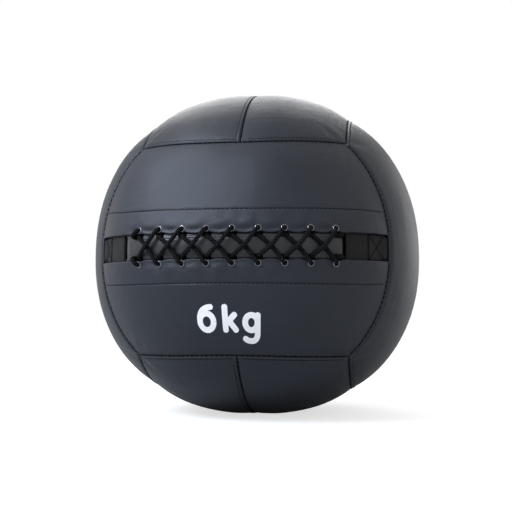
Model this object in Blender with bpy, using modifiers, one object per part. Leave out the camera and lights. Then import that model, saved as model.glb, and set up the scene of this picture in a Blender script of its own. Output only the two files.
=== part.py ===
"""Soft wall ball with a laced front, built from its cover down to the weight in its middle.

Metres, +Z up. The origin lies on the floor under the ball's centre. The laced front faces -Y, and
+X is on the right of someone who looks at it. The cover is cut like a volleyball's: six groups of
two panels, whose seams lie on the six planes that cut a cube's corners out of a ball.
"""
import math

import bmesh
import bpy
from mathutils import Matrix, Vector

# Ball form
ball_width = 0.3525
ball_height_free = 0.3475
ball_exponent = 2.2
belly_sag_share = 0.02
foot_sink = 0.0022
foot_reach = 0.003
foot_length = 0.056

# Cover panels
touch_gap = 0.0003
leather_thickness = 0.0015
seam_gap = 0.0004
seam_allowance = 0.008
seam_draw = 0.0025
seam_crown = 0.043
mid_seam_draw = 0.0015
mid_seam_crown = 0.030
top_mid_shift = 0.005
bottom_mid_shift = 0.002
panel_columns = 13
panel_row_numbers = (3, 5, 7, 9, 11)
pad_row_numbers = (3, 7)
pad_line_step = 2

# Laced closure
slit_half_height = 0.0125
slit_lift = 0.0020
slit_crown = 0.035
hem_depth = 0.020
facing_thickness = 0.0012
eyelets_a_row = 9
eyelet_pitch = 0.0245
lacing_shift = 0.0026
eyelet_edge_distance = 0.0037
eyelet_bore = 0.0048
eyelet_wall = 0.0003
eyelet_flange = 0.0064
eyelet_flange_thickness = 0.0005
eyelet_rim = 0.0062
eyelet_sides = 8
hole_cutter_length = 0.012
merge_reach = 0.00001
lace_diameter = 0.0041
lace_bend = 0.0028
lace_bend_steps = 2
lace_dive_steps = 4
lace_clearance = 0.0005
lace_tail = 0.008
lace_tail_shift = 0.0066
lace_tail_lead_share = 0.75
lace_tail_rise_share = 0.25
lace_low_lift = 0.0002
tongue_thickness = 0.0015
tongue_columns = 12
tongue_tab_gap = 0.0045
tongue_half_height = 0.030
tongue_crown_half_height = 0.0076
tongue_crown_depth = 0.002
tongue_crown_rows = 3
tongue_clearance = 0.0010
webbing_thickness = 0.0014
webbing_width = 0.030
webbing_fold = 0.0022
tab_length_left = 0.0455
tab_length_right = 0.0523
tab_turn_in = 0.005
tab_rows = 4
tab_fold_steps = 4

# Padding, filling and weight
foam_thickness = 0.016
pad_gap = 0.001
pad_clearance = 0.0006
closure_row_shares = (-1, -0.4, 0.4, 1)
sack_thickness = 0.001
sack_columns = 16
sack_rows = 8
half_gap = 0.0006
weight_bag_radius = 0.046
weight_bag_wall = 0.001
weight_neck_radius = 0.007
weight_neck_length = 0.022
weight_fill_share = 0.8
weight_tie_thickness = 0.003
weight_sides = 16
weight_arc_steps = 8
tie_sides = 6

radius = ball_width / 2
centre_height = ball_height_free / 2 - foot_sink
centre = Vector((0.0, 0.0, centre_height))
seam_plane_share = 1 / math.sqrt(3)
seam_angle = math.asin(seam_plane_share)
half_columns = panel_columns / 2
lace_radius = lace_diameter / 2
slit_share = slit_half_height / radius
hem_end_share = (slit_half_height + hem_depth) / radius
facet_rise = radius * (1 - math.cos(eyelet_pitch / radius / 2))
facing_depth = leather_thickness + touch_gap
under_facing = facing_depth + facing_thickness
foam_depth = leather_thickness + pad_clearance
core_depth = foam_depth + foam_thickness
lace_over = touch_gap + eyelet_flange_thickness + touch_gap + lace_radius
lace_slit = eyelet_edge_distance + lace_clearance + lace_radius
lace_arc = lace_slit / 2
lace_dive = under_facing + touch_gap
tongue_depth = lace_dive + lace_arc + lace_radius + tongue_clearance
allowance_radius = radius - seam_allowance - leather_thickness
side_margin = (seam_gap / 2 + leather_thickness + touch_gap) / allowance_radius
seam_cone = math.pi / 2 - seam_angle
pad_chord = math.atan(math.tan(seam_cone) / math.cos(math.pi / 2 / panel_columns)) - seam_cone

black_leather = ((0.035, 0.038, 0.045), 0.45, 0.0)
black_webbing = ((0.012, 0.012, 0.014), 0.85, 0.0)
black_lace = ((0.010, 0.010, 0.012), 0.80, 0.0)
bright_metal = ((0.75, 0.75, 0.76), 0.25, 1.0)
black_foam = ((0.02, 0.02, 0.022), 0.95, 0.0)
white_cotton = ((0.70, 0.68, 0.62), 0.90, 0.0)
mixed_textile = ((0.35, 0.33, 0.36), 0.95, 0.0)
iron_sand = ((0.08, 0.07, 0.07), 0.60, 0.4)


# Scene and materials
for old in list(bpy.data.objects):
    bpy.data.objects.remove(old, do_unlink=True)

ball = bpy.data.collections.new("wall_ball")
cutters = bpy.data.collections.new("cutters")
bpy.context.scene.collection.children.link(ball)
bpy.context.scene.collection.children.link(cutters)


def make_material(name, finish):
    """Principled material from a colour, a roughness and a metallic value."""
    colour, roughness, metallic = finish
    material = bpy.data.materials.new(name)
    material.use_nodes = True
    shader = material.node_tree.nodes["Principled BSDF"]
    shader.inputs["Base Color"].default_value = (*colour, 1.0)
    shader.inputs["Roughness"].default_value = roughness
    shader.inputs["Metallic"].default_value = metallic
    return material


def add_object(name, data, finish):
    """Link an object to the ball's collection and give it a material of its own."""
    thing = bpy.data.objects.new(name, data)
    data.materials.append(make_material(name, finish))
    ball.objects.link(thing)
    return thing


def mesh_from(name, work):
    """Turn a bmesh into a smooth-shaded mesh."""
    mesh = bpy.data.meshes.new(name)
    work.to_mesh(mesh)
    work.free()
    mesh.shade_smooth()
    return mesh


def face_outwards(work, middle):
    """Make an open surface's faces agree and point away from a point inside it."""
    bmesh.ops.recalc_face_normals(work, faces=work.faces)
    work.faces.ensure_lookup_table()
    face = work.faces[0]
    if face.normal.dot(face.calc_center_median() - middle) < 0:
        bmesh.ops.reverse_faces(work, faces=work.faces)


def close_outwards(work):
    """Make a closed surface's faces agree and point out of it."""
    bmesh.ops.recalc_face_normals(work, faces=work.faces)
    if work.calc_volume(signed=True) < 0:
        bmesh.ops.reverse_faces(work, faces=work.faces)


def add_shell(thing, thickness, offset=-1.0):
    """Give an open surface its thickness."""
    shell = thing.modifiers.new("shell", "SOLIDIFY")
    shell.thickness = thickness
    shell.offset = offset
    shell.use_even_offset = True


# Ball form
def form_radius(direction):
    """Distance from the centre to the unseamed form, slightly square and sagging to its lower half."""
    half_sizes = (radius, radius, ball_height_free / 2)
    powers = [abs(part / half) ** ball_exponent for part, half in zip(direction, half_sizes)]
    sag = 1 - belly_sag_share * direction.z * (1 - direction.z ** 2)
    return sag * sum(powers) ** (-1 / ball_exponent)


def crown_fall(distance, width):
    """Share of a seam's draw at a distance from it: all of it at the seam, none at the width."""
    return max(0.0, 1 - distance / width) ** 2


class Group:
    """Two panels side by side: their outward, lengthwise and crosswise axes, and their middle seam."""

    def __init__(self, outward, lengthwise, crosswise, mid_share, mid_draw, mid_crown, core, core_columns,
                 core_shift=0.0):
        self.outward = Vector(outward)
        self.lengthwise = Vector(lengthwise)
        self.crosswise = Vector(crosswise)
        self.mid_share = mid_share
        self.mid_draw = mid_draw
        self.mid_crown = mid_crown
        self.core = core
        self.core_columns = core_columns
        self.core_shift = core_shift

    def direction(self, azimuth, across):
        """Unit direction at an azimuth along the group and a share of the radius across it."""
        level = math.sqrt(1 - across ** 2)
        return (level * math.cos(azimuth) * self.outward + level * math.sin(azimuth) * self.lengthwise
                + across * self.crosswise)

    def end_azimuth(self, across, margin):
        """Azimuth of the end seam, less a margin in radians."""
        return math.acos(math.sin(seam_angle + margin) / math.sqrt(1 - across ** 2))

    def line_azimuth(self, line, across):
        """Azimuth of a lengthwise grid line: set by the core near the middle, even at the seams."""
        steps = line - half_columns
        side = math.copysign(1.0, steps)
        limit = self.end_azimuth(across, 0.0)
        even = limit * steps / half_columns
        beyond = (abs(steps) - self.core_columns) / (half_columns - self.core_columns)
        if beyond <= 0:
            placed = self.core_shift + self.core * steps / self.core_columns
        else:
            start = self.core_shift + side * self.core
            placed = start + beyond * (side * limit - start)
        fade = max(0.0, (abs(across) - hem_end_share) / (seam_plane_share - hem_end_share))
        return placed + (even - placed) * min(1.0, fade)

    def seam_pull(self, direction, across):
        """How far the seams draw the cover in, less what the layers at the slit lift it."""
        outward = direction.dot(self.outward)
        across_distance = radius * (seam_angle - math.asin(abs(across)))
        end_distance = radius * (math.asin(min(1.0, outward)) - seam_angle)
        mid_distance = radius * abs(math.asin(across) - math.asin(self.mid_share))
        free = (1 - crown_fall(across_distance, seam_crown)) * (1 - crown_fall(end_distance, seam_crown))
        return seam_draw * (1 - free) + self.mid_draw * crown_fall(mid_distance, self.mid_crown) * free

    def cover_point(self, azimuth, across, depth):
        """Point of the cover's outer face, settled on the floor under the ball, or a depth below it."""
        direction = self.direction(azimuth, across)
        point = centre + direction * (form_radius(direction) - self.seam_pull(direction, across))
        if point.z < foot_reach:
            point.z = 0.0
        return point - direction * depth

    def core_point(self, azimuth, across, depth):
        """Point at a depth below the unseamed form."""
        direction = self.direction(azimuth, across)
        return centre + direction * (form_radius(direction) - depth)


def row_share(number):
    """Place across a group of the row that meets a neighbour's grid line of that odd number."""
    level = math.sqrt(1 - seam_plane_share ** 2)
    end = math.acos(seam_plane_share / level)
    return level * math.sin(end * number / panel_columns)


def facet_drop(angle):
    """How far a flat facet that spans an angle of the ball dips below it."""
    return radius * (1 - math.cos(angle / 2))


even_core = math.acos(seam_plane_share) / panel_columns
lacing_columns = eyelets_a_row / 2
lacing_core = lacing_columns * eyelet_pitch / radius
foot_core = foot_length / 2 / radius

pad_column_angle = 2 * math.acos(seam_plane_share) * pad_line_step / panel_columns
pad_row_angle = seam_angle - math.asin(row_share(pad_row_numbers[-1]))
sack_depth = core_depth + touch_gap + facet_drop(pad_column_angle) + facet_drop(pad_row_angle)
filling_depth = sack_depth + sack_thickness + touch_gap + half_gap

front = Group((0, -1, 0), (1, 0, 0), (0, 0, 1), 0.0, -slit_lift, slit_crown, lacing_core, lacing_columns,
              lacing_shift / radius)
back = Group((0, 1, 0), (1, 0, 0), (0, 0, 1), 0.0, mid_seam_draw, mid_seam_crown, even_core, 1 / 2)
left = Group((-1, 0, 0), (0, 0, 1), (0, 1, 0), 0.0, mid_seam_draw, mid_seam_crown, even_core, 1 / 2)
right = Group((1, 0, 0), (0, 0, 1), (0, 1, 0), 0.0, mid_seam_draw, mid_seam_crown, even_core, 1 / 2)
top = Group((0, 0, 1), (0, 1, 0), (1, 0, 0), top_mid_shift / radius, mid_seam_draw, mid_seam_crown,
            even_core, 1 / 2)
bottom = Group((0, 0, -1), (0, 1, 0), (1, 0, 0), bottom_mid_shift / radius, mid_seam_draw,
               mid_seam_crown, foot_core, 1 / 2)


# Cover panels
def panel_rows(group, side, slit, edge_gap):
    """Rows across one panel, from the middle seam or the slit to the outer seam."""
    shares = [row_share(number) for number in panel_row_numbers]
    inner = math.sin(math.asin(group.mid_share) + side * edge_gap)
    if slit:
        inner = side * slit_share
        shares[0] = hem_end_share
    return [inner, *(side * share for share in shares), side * math.sin(seam_angle - edge_gap)]


def grid_surface(columns, rows):
    """Flat grid whose vertices hold their column and row numbers as X and Y."""
    work = bmesh.new()
    bmesh.ops.create_grid(work, x_segments=columns, y_segments=rows, size=0.5)
    for vertex in work.verts:
        vertex.co.x = round((vertex.co.x + 0.5) * columns)
        vertex.co.y = round((vertex.co.y + 0.5) * rows)
    return work


def add_panel(name, group, side, slit=False):
    """One leather panel with its seam allowances turned in, open along the slit if it has one."""
    half_seam = seam_gap / 2 / radius
    rows = panel_rows(group, side, slit, half_seam)
    work = grid_surface(panel_columns, len(rows) - 1)
    sewn = [edge for edge in work.edges if edge.is_boundary
            and not (slit and all(vertex.co.y == 0 for vertex in edge.verts))]
    turned = bmesh.ops.extrude_edge_only(work, edges=sewn)["geom"]
    for vertex in turned:
        if isinstance(vertex, bmesh.types.BMVert):
            vertex.co.z = 1
    for vertex in work.verts:
        across = rows[round(vertex.co.y)]
        limit = group.end_azimuth(across, half_seam)
        azimuth = group.line_azimuth(vertex.co.x, across)
        azimuth = max(-limit, min(limit, azimuth))
        vertex.co = group.cover_point(azimuth, across, vertex.co.z * seam_allowance)
    face_outwards(work, centre)
    panel = add_object(name, mesh_from(name, work), black_leather)
    add_shell(panel, leather_thickness)
    return panel


# Eyelets
def lacing_azimuth(number):
    """Azimuth of a place along the rows of eyelets, counted in eyelets from the middle one."""
    return (lacing_shift + number * eyelet_pitch) / radius


def eyelet_frame(number, side):
    """Matrix of an eyelet's seat: X along the flap, Y towards the slit, Z out of the flap's facet."""
    edges = []
    for across in (side * slit_share, side * hem_end_share):
        ends = [front.cover_point(lacing_azimuth(number + half), across, 0.0) for half in (-1 / 2, 1 / 2)]
        edges.append(ends)
    edge_middle = (edges[0][0] + edges[0][1]) / 2
    row_middle = (edges[1][0] + edges[1][1]) / 2
    along = (edges[0][1] - edges[0][0]).normalized() * -side
    to_slit = (edge_middle - row_middle).normalized()
    outward = along.cross(to_slit)
    seat = edge_middle - to_slit * eyelet_edge_distance
    frame = Matrix((along, to_slit, outward)).transposed().to_4x4()
    frame.translation = seat
    return frame


def eyelet_profile():
    """Section of an eyelet, from its flange down the barrel to the rolled rim and up the bore."""
    top_level = touch_gap + eyelet_flange_thickness
    rim_level = -(under_facing + touch_gap)
    barrel = eyelet_bore / 2 + eyelet_wall
    return [
        (eyelet_flange / 2, top_level),
        (eyelet_flange / 2, touch_gap),
        (barrel, touch_gap),
        (barrel, rim_level),
        (eyelet_rim / 2, rim_level - eyelet_flange_thickness),
        (eyelet_bore / 2, rim_level - eyelet_flange_thickness),
        (eyelet_bore / 2, top_level),
    ]


def turned_mesh(name, profile, closed):
    """Edge chain in the XZ plane for a Screw modifier, from (distance, height) pairs."""
    mesh = bpy.data.meshes.new(name)
    corners = [(distance, 0.0, height) for distance, height in profile]
    edges = [(index, index + 1) for index in range(len(profile) - 1)]
    if closed:
        edges.append((len(profile) - 1, 0))
    mesh.from_pydata(corners, edges, [])
    return mesh


def add_screw(thing, sides):
    """Turn an edge chain about its object's Z axis."""
    screw = thing.modifiers.new("turn", "SCREW")
    screw.steps = sides
    screw.render_steps = sides
    screw.use_merge_vertices = True
    screw.merge_threshold = merge_reach
    screw.use_smooth_shade = True


def eyelet_numbers():
    """Eyelet numbers along a row, zero in its middle."""
    reach = (eyelets_a_row - 1) / 2
    return [index - reach for index in range(eyelets_a_row)]


def add_eyelets():
    """Two rows of eyelets, one along each flap."""
    for side, flap in ((1, "upper"), (-1, "lower")):
        for index, number in enumerate(eyelet_numbers()):
            name = f"eyelet_{flap}_{index + 1}"
            eyelet = add_object(name, turned_mesh(name, eyelet_profile(), True), bright_metal)
            add_screw(eyelet, eyelet_sides)
            eyelet.matrix_world = eyelet_frame(number, side)


def cut_eyelet_holes(piece, side):
    """Cut a hole for each eyelet's barrel through a flap or its facing."""
    hole = eyelet_bore / 2 + eyelet_wall + touch_gap
    for index, number in enumerate(eyelet_numbers()):
        work = bmesh.new()
        bmesh.ops.create_cone(work, cap_ends=True, segments=eyelet_sides, radius1=hole, radius2=hole,
                              depth=hole_cutter_length)
        cutter = bpy.data.objects.new(f"cutter_{piece.name}_{index + 1}", mesh_from("cutter", work))
        cutters.objects.link(cutter)
        cutter.matrix_world = eyelet_frame(number, side)
        cutter.hide_render = True
        cutter.display_type = "WIRE"
        cut = piece.modifiers.new(f"hole_{index + 1}", "BOOLEAN")
        cut.operation = "DIFFERENCE"
        cut.solver = "EXACT"
        cut.object = cutter


# Laced closure
def closure_point(azimuth, across, depth):
    """Point at a depth below the flaps, whose level the slit between them keeps."""
    direction = front.direction(azimuth, across)
    held = math.copysign(max(abs(across), slit_share), across)
    held_direction = front.direction(azimuth, held)
    level = form_radius(direction) - front.seam_pull(held_direction, held)
    return centre + direction * (level - depth)


def add_facing(name, side):
    """Leather strip behind a flap's edge, which carries the eyelets with it."""
    rows = [side * slit_share, side * hem_end_share]
    work = grid_surface(panel_columns, len(rows) - 1)
    for vertex in work.verts:
        across = rows[round(vertex.co.y)]
        limit = front.end_azimuth(across, side_margin)
        azimuth = max(-limit, min(limit, front.line_azimuth(vertex.co.x, across)))
        vertex.co = front.cover_point(azimuth, across, facing_depth)
    face_outwards(work, centre)
    facing = add_object(name, mesh_from(name, work), black_leather)
    add_shell(facing, facing_thickness)
    cut_eyelet_holes(facing, side)


def tongue_level(across):
    """Depth of the tongue below the flaps: low under the lacing, crowned in the slit."""
    reach = abs(across) * radius / tongue_crown_half_height
    crown = max(0.0, 1 - reach ** 4)
    return tongue_depth + (tongue_crown_depth - tongue_depth) * crown


def tongue_rows():
    """Places across the tongue, closer together over its crown."""
    crown = tongue_crown_half_height
    crowned = [crown * step / tongue_crown_rows for step in range(tongue_crown_rows, 0, -1)]
    heights = [tongue_half_height, (tongue_half_height + crown) / 2, *crowned]
    lower = [-height / radius for height in heights]
    return [*lower, 0.0, *(-share for share in reversed(lower))]


def tab_seam_azimuth():
    """Azimuth at which a tab's end turns in at the side seam."""
    return front.end_azimuth(0.0, side_margin + (webbing_thickness / 2 + touch_gap) / allowance_radius)


def tongue_end(tab_length):
    """Azimuth of the tongue's end, short of the fold of a tab of that length."""
    return tab_seam_azimuth() - (tab_length + webbing_thickness / 2 + tongue_tab_gap) / radius


def add_tongue():
    """Leather tongue behind the lacing, between the two tabs."""
    rows = tongue_rows()
    work = grid_surface(tongue_columns, len(rows) - 1)
    start, end = -tongue_end(tab_length_left), tongue_end(tab_length_right)
    for vertex in work.verts:
        across = rows[round(vertex.co.y)]
        azimuth = start + (end - start) * vertex.co.x / tongue_columns
        vertex.co = closure_point(azimuth, across, tongue_level(across) + facet_rise)
    face_outwards(work, centre)
    tongue = add_object("closure_tongue", mesh_from("closure_tongue", work), black_leather)
    add_shell(tongue, tongue_thickness)


def tab_path(length):
    """Middle line of a folded tab as (azimuth, depth) pairs, from its short end round to the seam."""
    outer_depth = under_facing + 2 * touch_gap + facet_rise + webbing_thickness / 2
    inner_depth = outer_depth + webbing_fold
    seam_end = tab_seam_azimuth()
    fold_radius = webbing_fold / 2
    fold_azimuth = seam_end - (length - fold_radius) / radius
    short_end = seam_end - (webbing_fold + webbing_thickness) / radius
    path = [(short_end, inner_depth), ((short_end + fold_azimuth) / 2, inner_depth)]
    for step in range(tab_fold_steps + 1):
        turn = math.pi * step / tab_fold_steps
        bow = fold_radius * math.sin(turn) / radius
        path.append((fold_azimuth - bow, outer_depth + fold_radius * (1 + math.cos(turn))))
    path += [((short_end + fold_azimuth) / 2, outer_depth), (short_end, outer_depth),
             (seam_end, outer_depth + webbing_thickness / 2), (seam_end, outer_depth + tab_turn_in)]
    return path


def add_tab(name, side, length):
    """Webbing tab folded back on itself, its end turned in at the side seam."""
    path = tab_path(length)
    work = grid_surface(len(path) - 1, tab_rows)
    for vertex in work.verts:
        azimuth, depth = path[round(vertex.co.x)]
        across = (vertex.co.y / tab_rows - 1 / 2) * webbing_width / radius
        azimuth += front.end_azimuth(across, 0.0) - front.end_azimuth(0.0, 0.0)
        vertex.co = closure_point(side * azimuth, across, depth)
    bmesh.ops.recalc_face_normals(work, faces=work.faces)
    tab = add_object(name, mesh_from(name, work), black_webbing)
    add_shell(tab, webbing_thickness, 0.0)


def rounded(first, last):
    """Points round a corner of the lace, from one direction out of the corner to the other."""
    points = []
    for step in range(lace_bend_steps + 1):
        angle = math.pi / 2 * step / lace_bend_steps
        points.append(lace_bend * ((1 - math.sin(angle)) * first + (1 - math.cos(angle)) * last))
    return points


def lace_pass(number, side, arrival, departure):
    """Points through one eyelet: over the flap, down the bore, under the flap, out of the slit."""
    frame = eyelet_frame(number, side)
    out = Vector((0, 0, 1))
    over = Vector((0, 0, lace_over))
    points = [over + step for step in rounded(arrival, -out)]
    for step in range(lace_dive_steps + 1):
        angle = math.pi * step / lace_dive_steps
        across = lace_arc * (1 - math.cos(angle))
        points.append(Vector((0, across, -lace_dive - lace_arc * math.sin(angle))))
    leave = Vector((0, lace_slit, lace_low_lift))
    points += [leave - out * lace_bend, leave + departure * lace_bend]
    return [frame @ point for point in points]


def lace_crossing(number, rising):
    """Point where two diagonals cross in the middle of the slit, the rising one on top."""
    lift = lace_low_lift + (lace_diameter + touch_gap if rising else 0)
    return closure_point(lacing_azimuth(number), 0.0, -lift)


def flap_direction(frame, target):
    """Direction from an eyelet's seat towards a point, within the plane of the flap."""
    inside = frame.inverted() @ target
    return Vector((inside.x, inside.y, 0)).normalized()


def slit_direction(frame, target):
    """Direction from an eyelet's place in the slit towards a point, within the plane of the flap."""
    inside = frame.inverted() @ target
    return Vector((inside.x, inside.y - lace_slit, 0)).normalized()


def lace_start(frame, sideways):
    """Points of the end that is tucked under the flap, up to its way over the flap's edge."""
    corner = Vector((sideways, lace_slit, -lace_dive - lace_radius - touch_gap))
    points = [Vector((sideways, -lace_tail, corner.z))]
    points += [corner + step for step in rounded(Vector((0, -1, 0)), Vector((0, 0, 1)))]
    points.append(Vector((sideways, lace_slit, 0)))
    lead = sideways * lace_tail_lead_share
    points.append(Vector((lead, lace_slit - lace_bend * lace_tail_rise_share, lace_over)))
    return [frame @ point for point in points]


def lace_route(first_side):
    """Whole route of one lace, zigzag from the left pair of eyelets to the right pair."""
    numbers = eyelet_numbers()
    points = []
    for index, number in enumerate(numbers):
        side = first_side * (-1) ** index
        frame = eyelet_frame(number, side)
        left_end = side * lace_tail_shift
        before = lace_crossing(number - 1 / 2, side > 0)
        after = lace_crossing(number + 1 / 2, side < 0)
        if index == 0:
            points += lace_start(frame, left_end)
            before = points[-1]
        if index == len(numbers) - 1:
            after = frame @ Vector((-left_end, lace_slit, 0))
        arrival = flap_direction(frame, before)
        departure = slit_direction(frame, after)
        points += lace_pass(number, side, arrival, departure)
        if index < len(numbers) - 1:
            points.append(after)
        else:
            points += reversed(lace_start(frame, -left_end)[:-1])
    return points


def add_lace(name, first_side):
    """One braided lace as a tube along its route."""
    data = bpy.data.curves.new(name, "CURVE")
    data.dimensions = "3D"
    data.bevel_depth = lace_radius
    data.bevel_resolution = 2
    data.use_fill_caps = True
    route = lace_route(first_side)
    spline = data.splines.new("POLY")
    spline.points.add(len(route) - 1)
    for target, point in zip(spline.points, route):
        target.co = (*point, 1.0)
    add_object(name, data, black_lace)


# Padding
def add_block(name, group, lines, rows, levels, finish, end_margin):
    """Closed pad over chosen grid lines and rows, its outer and inner faces at two levels."""
    work = grid_surface(len(lines) - 1, len(rows) - 1)
    grown = bmesh.ops.extrude_face_region(work, geom=work.faces[:])["geom"]
    for vertex in grown:
        if isinstance(vertex, bmesh.types.BMVert):
            vertex.co.z = 1
    for vertex in work.verts:
        across = rows[round(vertex.co.y)]
        limit = group.end_azimuth(across, end_margin)
        azimuth = max(-limit, min(limit, group.line_azimuth(lines[round(vertex.co.x)], across)))
        vertex.co = levels[round(vertex.co.z)](azimuth, across)
    close_outwards(work)
    return add_object(name, mesh_from(name, work), finish)


def add_pad(name, group, side, slit=False):
    """Foam pad behind one panel, between its seam allowances."""
    shares = [row_share(number) for number in pad_row_numbers]
    if slit:
        inner = math.asin(hem_end_share) + pad_gap / radius
        shares = shares[1:]
    else:
        inner = side * math.asin(group.mid_share) + side_margin
    outer = seam_angle - side_margin - pad_chord
    half_line = (panel_columns + 1) // 2
    lines = [*range(0, half_line, pad_line_step), *range(half_line, panel_columns + 1, pad_line_step)]
    rows = [side * share for share in (math.sin(inner), *shares, math.sin(outer))]
    levels = (lambda azimuth, across: group.cover_point(azimuth, across, foam_depth),
              lambda azimuth, across: group.core_point(azimuth, across, core_depth))
    return add_block(name, group, lines, rows, levels, black_foam, side_margin)


def add_closure_pad():
    """Foam pad under the tongue and the tabs, between the two front pads."""
    pad_depth = tongue_depth + tongue_thickness + touch_gap + 2 * facet_rise
    rows = [hem_end_share * share for share in closure_row_shares]
    levels = (lambda azimuth, across: closure_point(azimuth, across, pad_depth),
              lambda azimuth, across: front.core_point(azimuth, across, core_depth))
    tab_end = webbing_thickness + 2 * touch_gap
    margin = side_margin + tab_end / (radius - seam_allowance)
    lines = range(panel_columns + 1)
    return add_block("pad_closure", front, lines, rows, levels, black_foam, margin)


# Filling and weight
def add_dome(name, side, depth, finish, solid):
    """Front or back half of the ball at a depth below its form, solid or as an open surface."""
    work = bmesh.new()
    bmesh.ops.create_uvsphere(work, u_segments=sack_columns, v_segments=sack_rows, radius=1,
                              matrix=Matrix.Rotation(math.pi / 2, 4, "X"))
    slice_width = 1 / (sack_columns * sack_rows)
    outside = [vertex for vertex in work.verts if vertex.co.y * side < -slice_width]
    bmesh.ops.delete(work, geom=outside, context="VERTS")
    for vertex in work.verts:
        direction = vertex.co.normalized()
        vertex.co = centre + direction * (form_radius(direction) - depth)
        vertex.co.y += side * half_gap / 2
    if solid:
        rim = [edge for edge in work.edges if edge.is_boundary]
        bmesh.ops.contextual_create(work, geom=rim)
        close_outwards(work)
    else:
        face_outwards(work, centre)
    return add_object(name, mesh_from(name, work), finish)


def bag_arc(bag_radius):
    """Outline of the bag's round body from its neck down to its lowest point."""
    start = math.asin(weight_neck_radius / weight_bag_radius)
    arc = []
    for step in range(weight_arc_steps):
        angle = start + (math.pi - start) * step / weight_arc_steps
        arc.append((bag_radius * math.sin(angle), bag_radius * math.cos(angle)))
    return [*arc, (0, -bag_radius)]


def add_turned(name, profile, finish, closed=False, sides=weight_sides):
    """Turned piece about the ball's upright axis, heights counted from the ball's centre."""
    piece = add_object(name, turned_mesh(name, profile, closed), finish)
    add_screw(piece, sides)
    piece.location = centre
    return piece


def add_weight():
    """Cotton bag of iron sand with its neck tied shut."""
    neck_top = weight_bag_radius + weight_neck_length
    inner_radius = weight_bag_radius - weight_bag_wall
    inner_neck = weight_neck_radius - weight_bag_wall
    outer = [(weight_neck_radius, neck_top)] + bag_arc(weight_bag_radius)
    inner = [(inner_neck, neck_top)] + bag_arc(inner_radius)
    add_turned("weight_bag", inner[::-1] + outer, white_cotton)
    sand_radius = inner_radius - touch_gap
    fill_level = weight_fill_share * sand_radius
    sand = [corner for corner in bag_arc(sand_radius) if corner[1] < fill_level]
    add_turned("iron_sand_charge", [(0, sand[0][1])] + sand, iron_sand)
    tie_radius = weight_tie_thickness / 2
    tie_middle = weight_neck_radius + touch_gap + tie_radius
    tie_height = weight_bag_radius + weight_neck_length / 2
    tie = []
    for step in range(tie_sides):
        angle = -2 * math.pi * step / tie_sides
        tie.append((tie_middle + tie_radius * math.cos(angle), tie_height + tie_radius * math.sin(angle)))
    add_turned("weight_bag_tie", tie, black_webbing, closed=True)


def add_filling():
    """Two halves of shredded textile packed round the weight bag, each with its half of the hollow."""
    hollow_neck = weight_neck_radius + weight_tie_thickness + 2 * touch_gap
    hollow_top = weight_bag_radius + weight_neck_length + touch_gap
    body = bag_arc(weight_bag_radius + touch_gap)
    outline = [(0, hollow_top), (hollow_neck, hollow_top), (hollow_neck, body[0][1]), *body[1:]]
    cutter = bpy.data.objects.new("cutter_weight", turned_mesh("cutter_weight", outline, False))
    cutters.objects.link(cutter)
    add_screw(cutter, weight_sides)
    cutter.location = centre
    cutter.hide_render = True
    cutter.display_type = "WIRE"
    for name, side in (("filling_front", -1), ("filling_back", 1)):
        half = add_dome(name, side, filling_depth, mixed_textile, True)
        cut = half.modifiers.new("hollow", "BOOLEAN")
        cut.operation = "DIFFERENCE"
        cut.solver = "EXACT"
        cut.object = cutter


def add_sack():
    """Inner textile sack in two halves, sewn together round its middle."""
    for name, side in (("sack_front", -1), ("sack_back", 1)):
        half = add_dome(name, side, sack_depth, white_cotton, False)
        add_shell(half, sack_thickness)


# Whole ball
panel_table = (
    ("front_upper", front, 1), ("front_lower", front, -1),
    ("back_upper", back, 1), ("back_lower", back, -1),
    ("left_front", left, -1), ("left_back", left, 1),
    ("right_front", right, -1), ("right_back", right, 1),
    ("top_left", top, -1), ("top_right", top, 1),
    ("bottom_left", bottom, -1), ("bottom_right", bottom, 1),
)

for place, group, side in panel_table:
    has_slit = group is front
    cover = add_panel(f"cover_{place}", group, side, has_slit)
    if has_slit:
        cut_eyelet_holes(cover, side)
    add_pad(f"pad_{place}", group, side, has_slit)

add_facing("hem_facing_upper", 1)
add_facing("hem_facing_lower", -1)
add_eyelets()
add_lace("lace_from_upper_left", 1)
add_lace("lace_from_lower_left", -1)
add_tongue()
add_tab("webbing_tab_left", -1, tab_length_left)
add_tab("webbing_tab_right", 1, tab_length_right)
add_closure_pad()
add_sack()
add_filling()
add_weight()
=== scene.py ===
"""Looks of the soft wall ball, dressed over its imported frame.

Metres, +Z up, the laced front towards -Y. A place on the cover is an azimuth along a group of two
panels and a latitude across it, both in radians, and the form below repeats the one of the solids.
"""
import math

import bpy
import numpy as np
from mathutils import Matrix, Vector


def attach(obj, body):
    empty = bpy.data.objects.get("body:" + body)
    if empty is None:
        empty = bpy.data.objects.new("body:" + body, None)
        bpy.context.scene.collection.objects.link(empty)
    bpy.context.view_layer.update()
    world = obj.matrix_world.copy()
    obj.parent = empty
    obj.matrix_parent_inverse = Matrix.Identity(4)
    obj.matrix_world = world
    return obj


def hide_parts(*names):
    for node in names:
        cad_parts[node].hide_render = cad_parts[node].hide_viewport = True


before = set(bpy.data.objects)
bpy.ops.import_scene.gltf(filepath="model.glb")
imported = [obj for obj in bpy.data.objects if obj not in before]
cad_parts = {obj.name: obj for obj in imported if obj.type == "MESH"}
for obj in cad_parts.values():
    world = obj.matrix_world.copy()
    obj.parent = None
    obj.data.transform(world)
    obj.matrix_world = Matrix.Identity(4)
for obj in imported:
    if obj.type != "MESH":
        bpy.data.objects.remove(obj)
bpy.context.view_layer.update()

# Ball
ball_width = 0.3525
ball_height_free = 0.3475
ball_exponent = 2.2
belly_sag_share = 0.02
foot_sink = 0.0022
seam_draw = 0.0025
seam_crown = 0.043
mid_seam_draw = 0.0015
mid_seam_crown = 0.030
slit_lift = 0.0020
slit_crown = 0.035
front_flatness = 0.0020
top_mid_shift = 0.005
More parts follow.
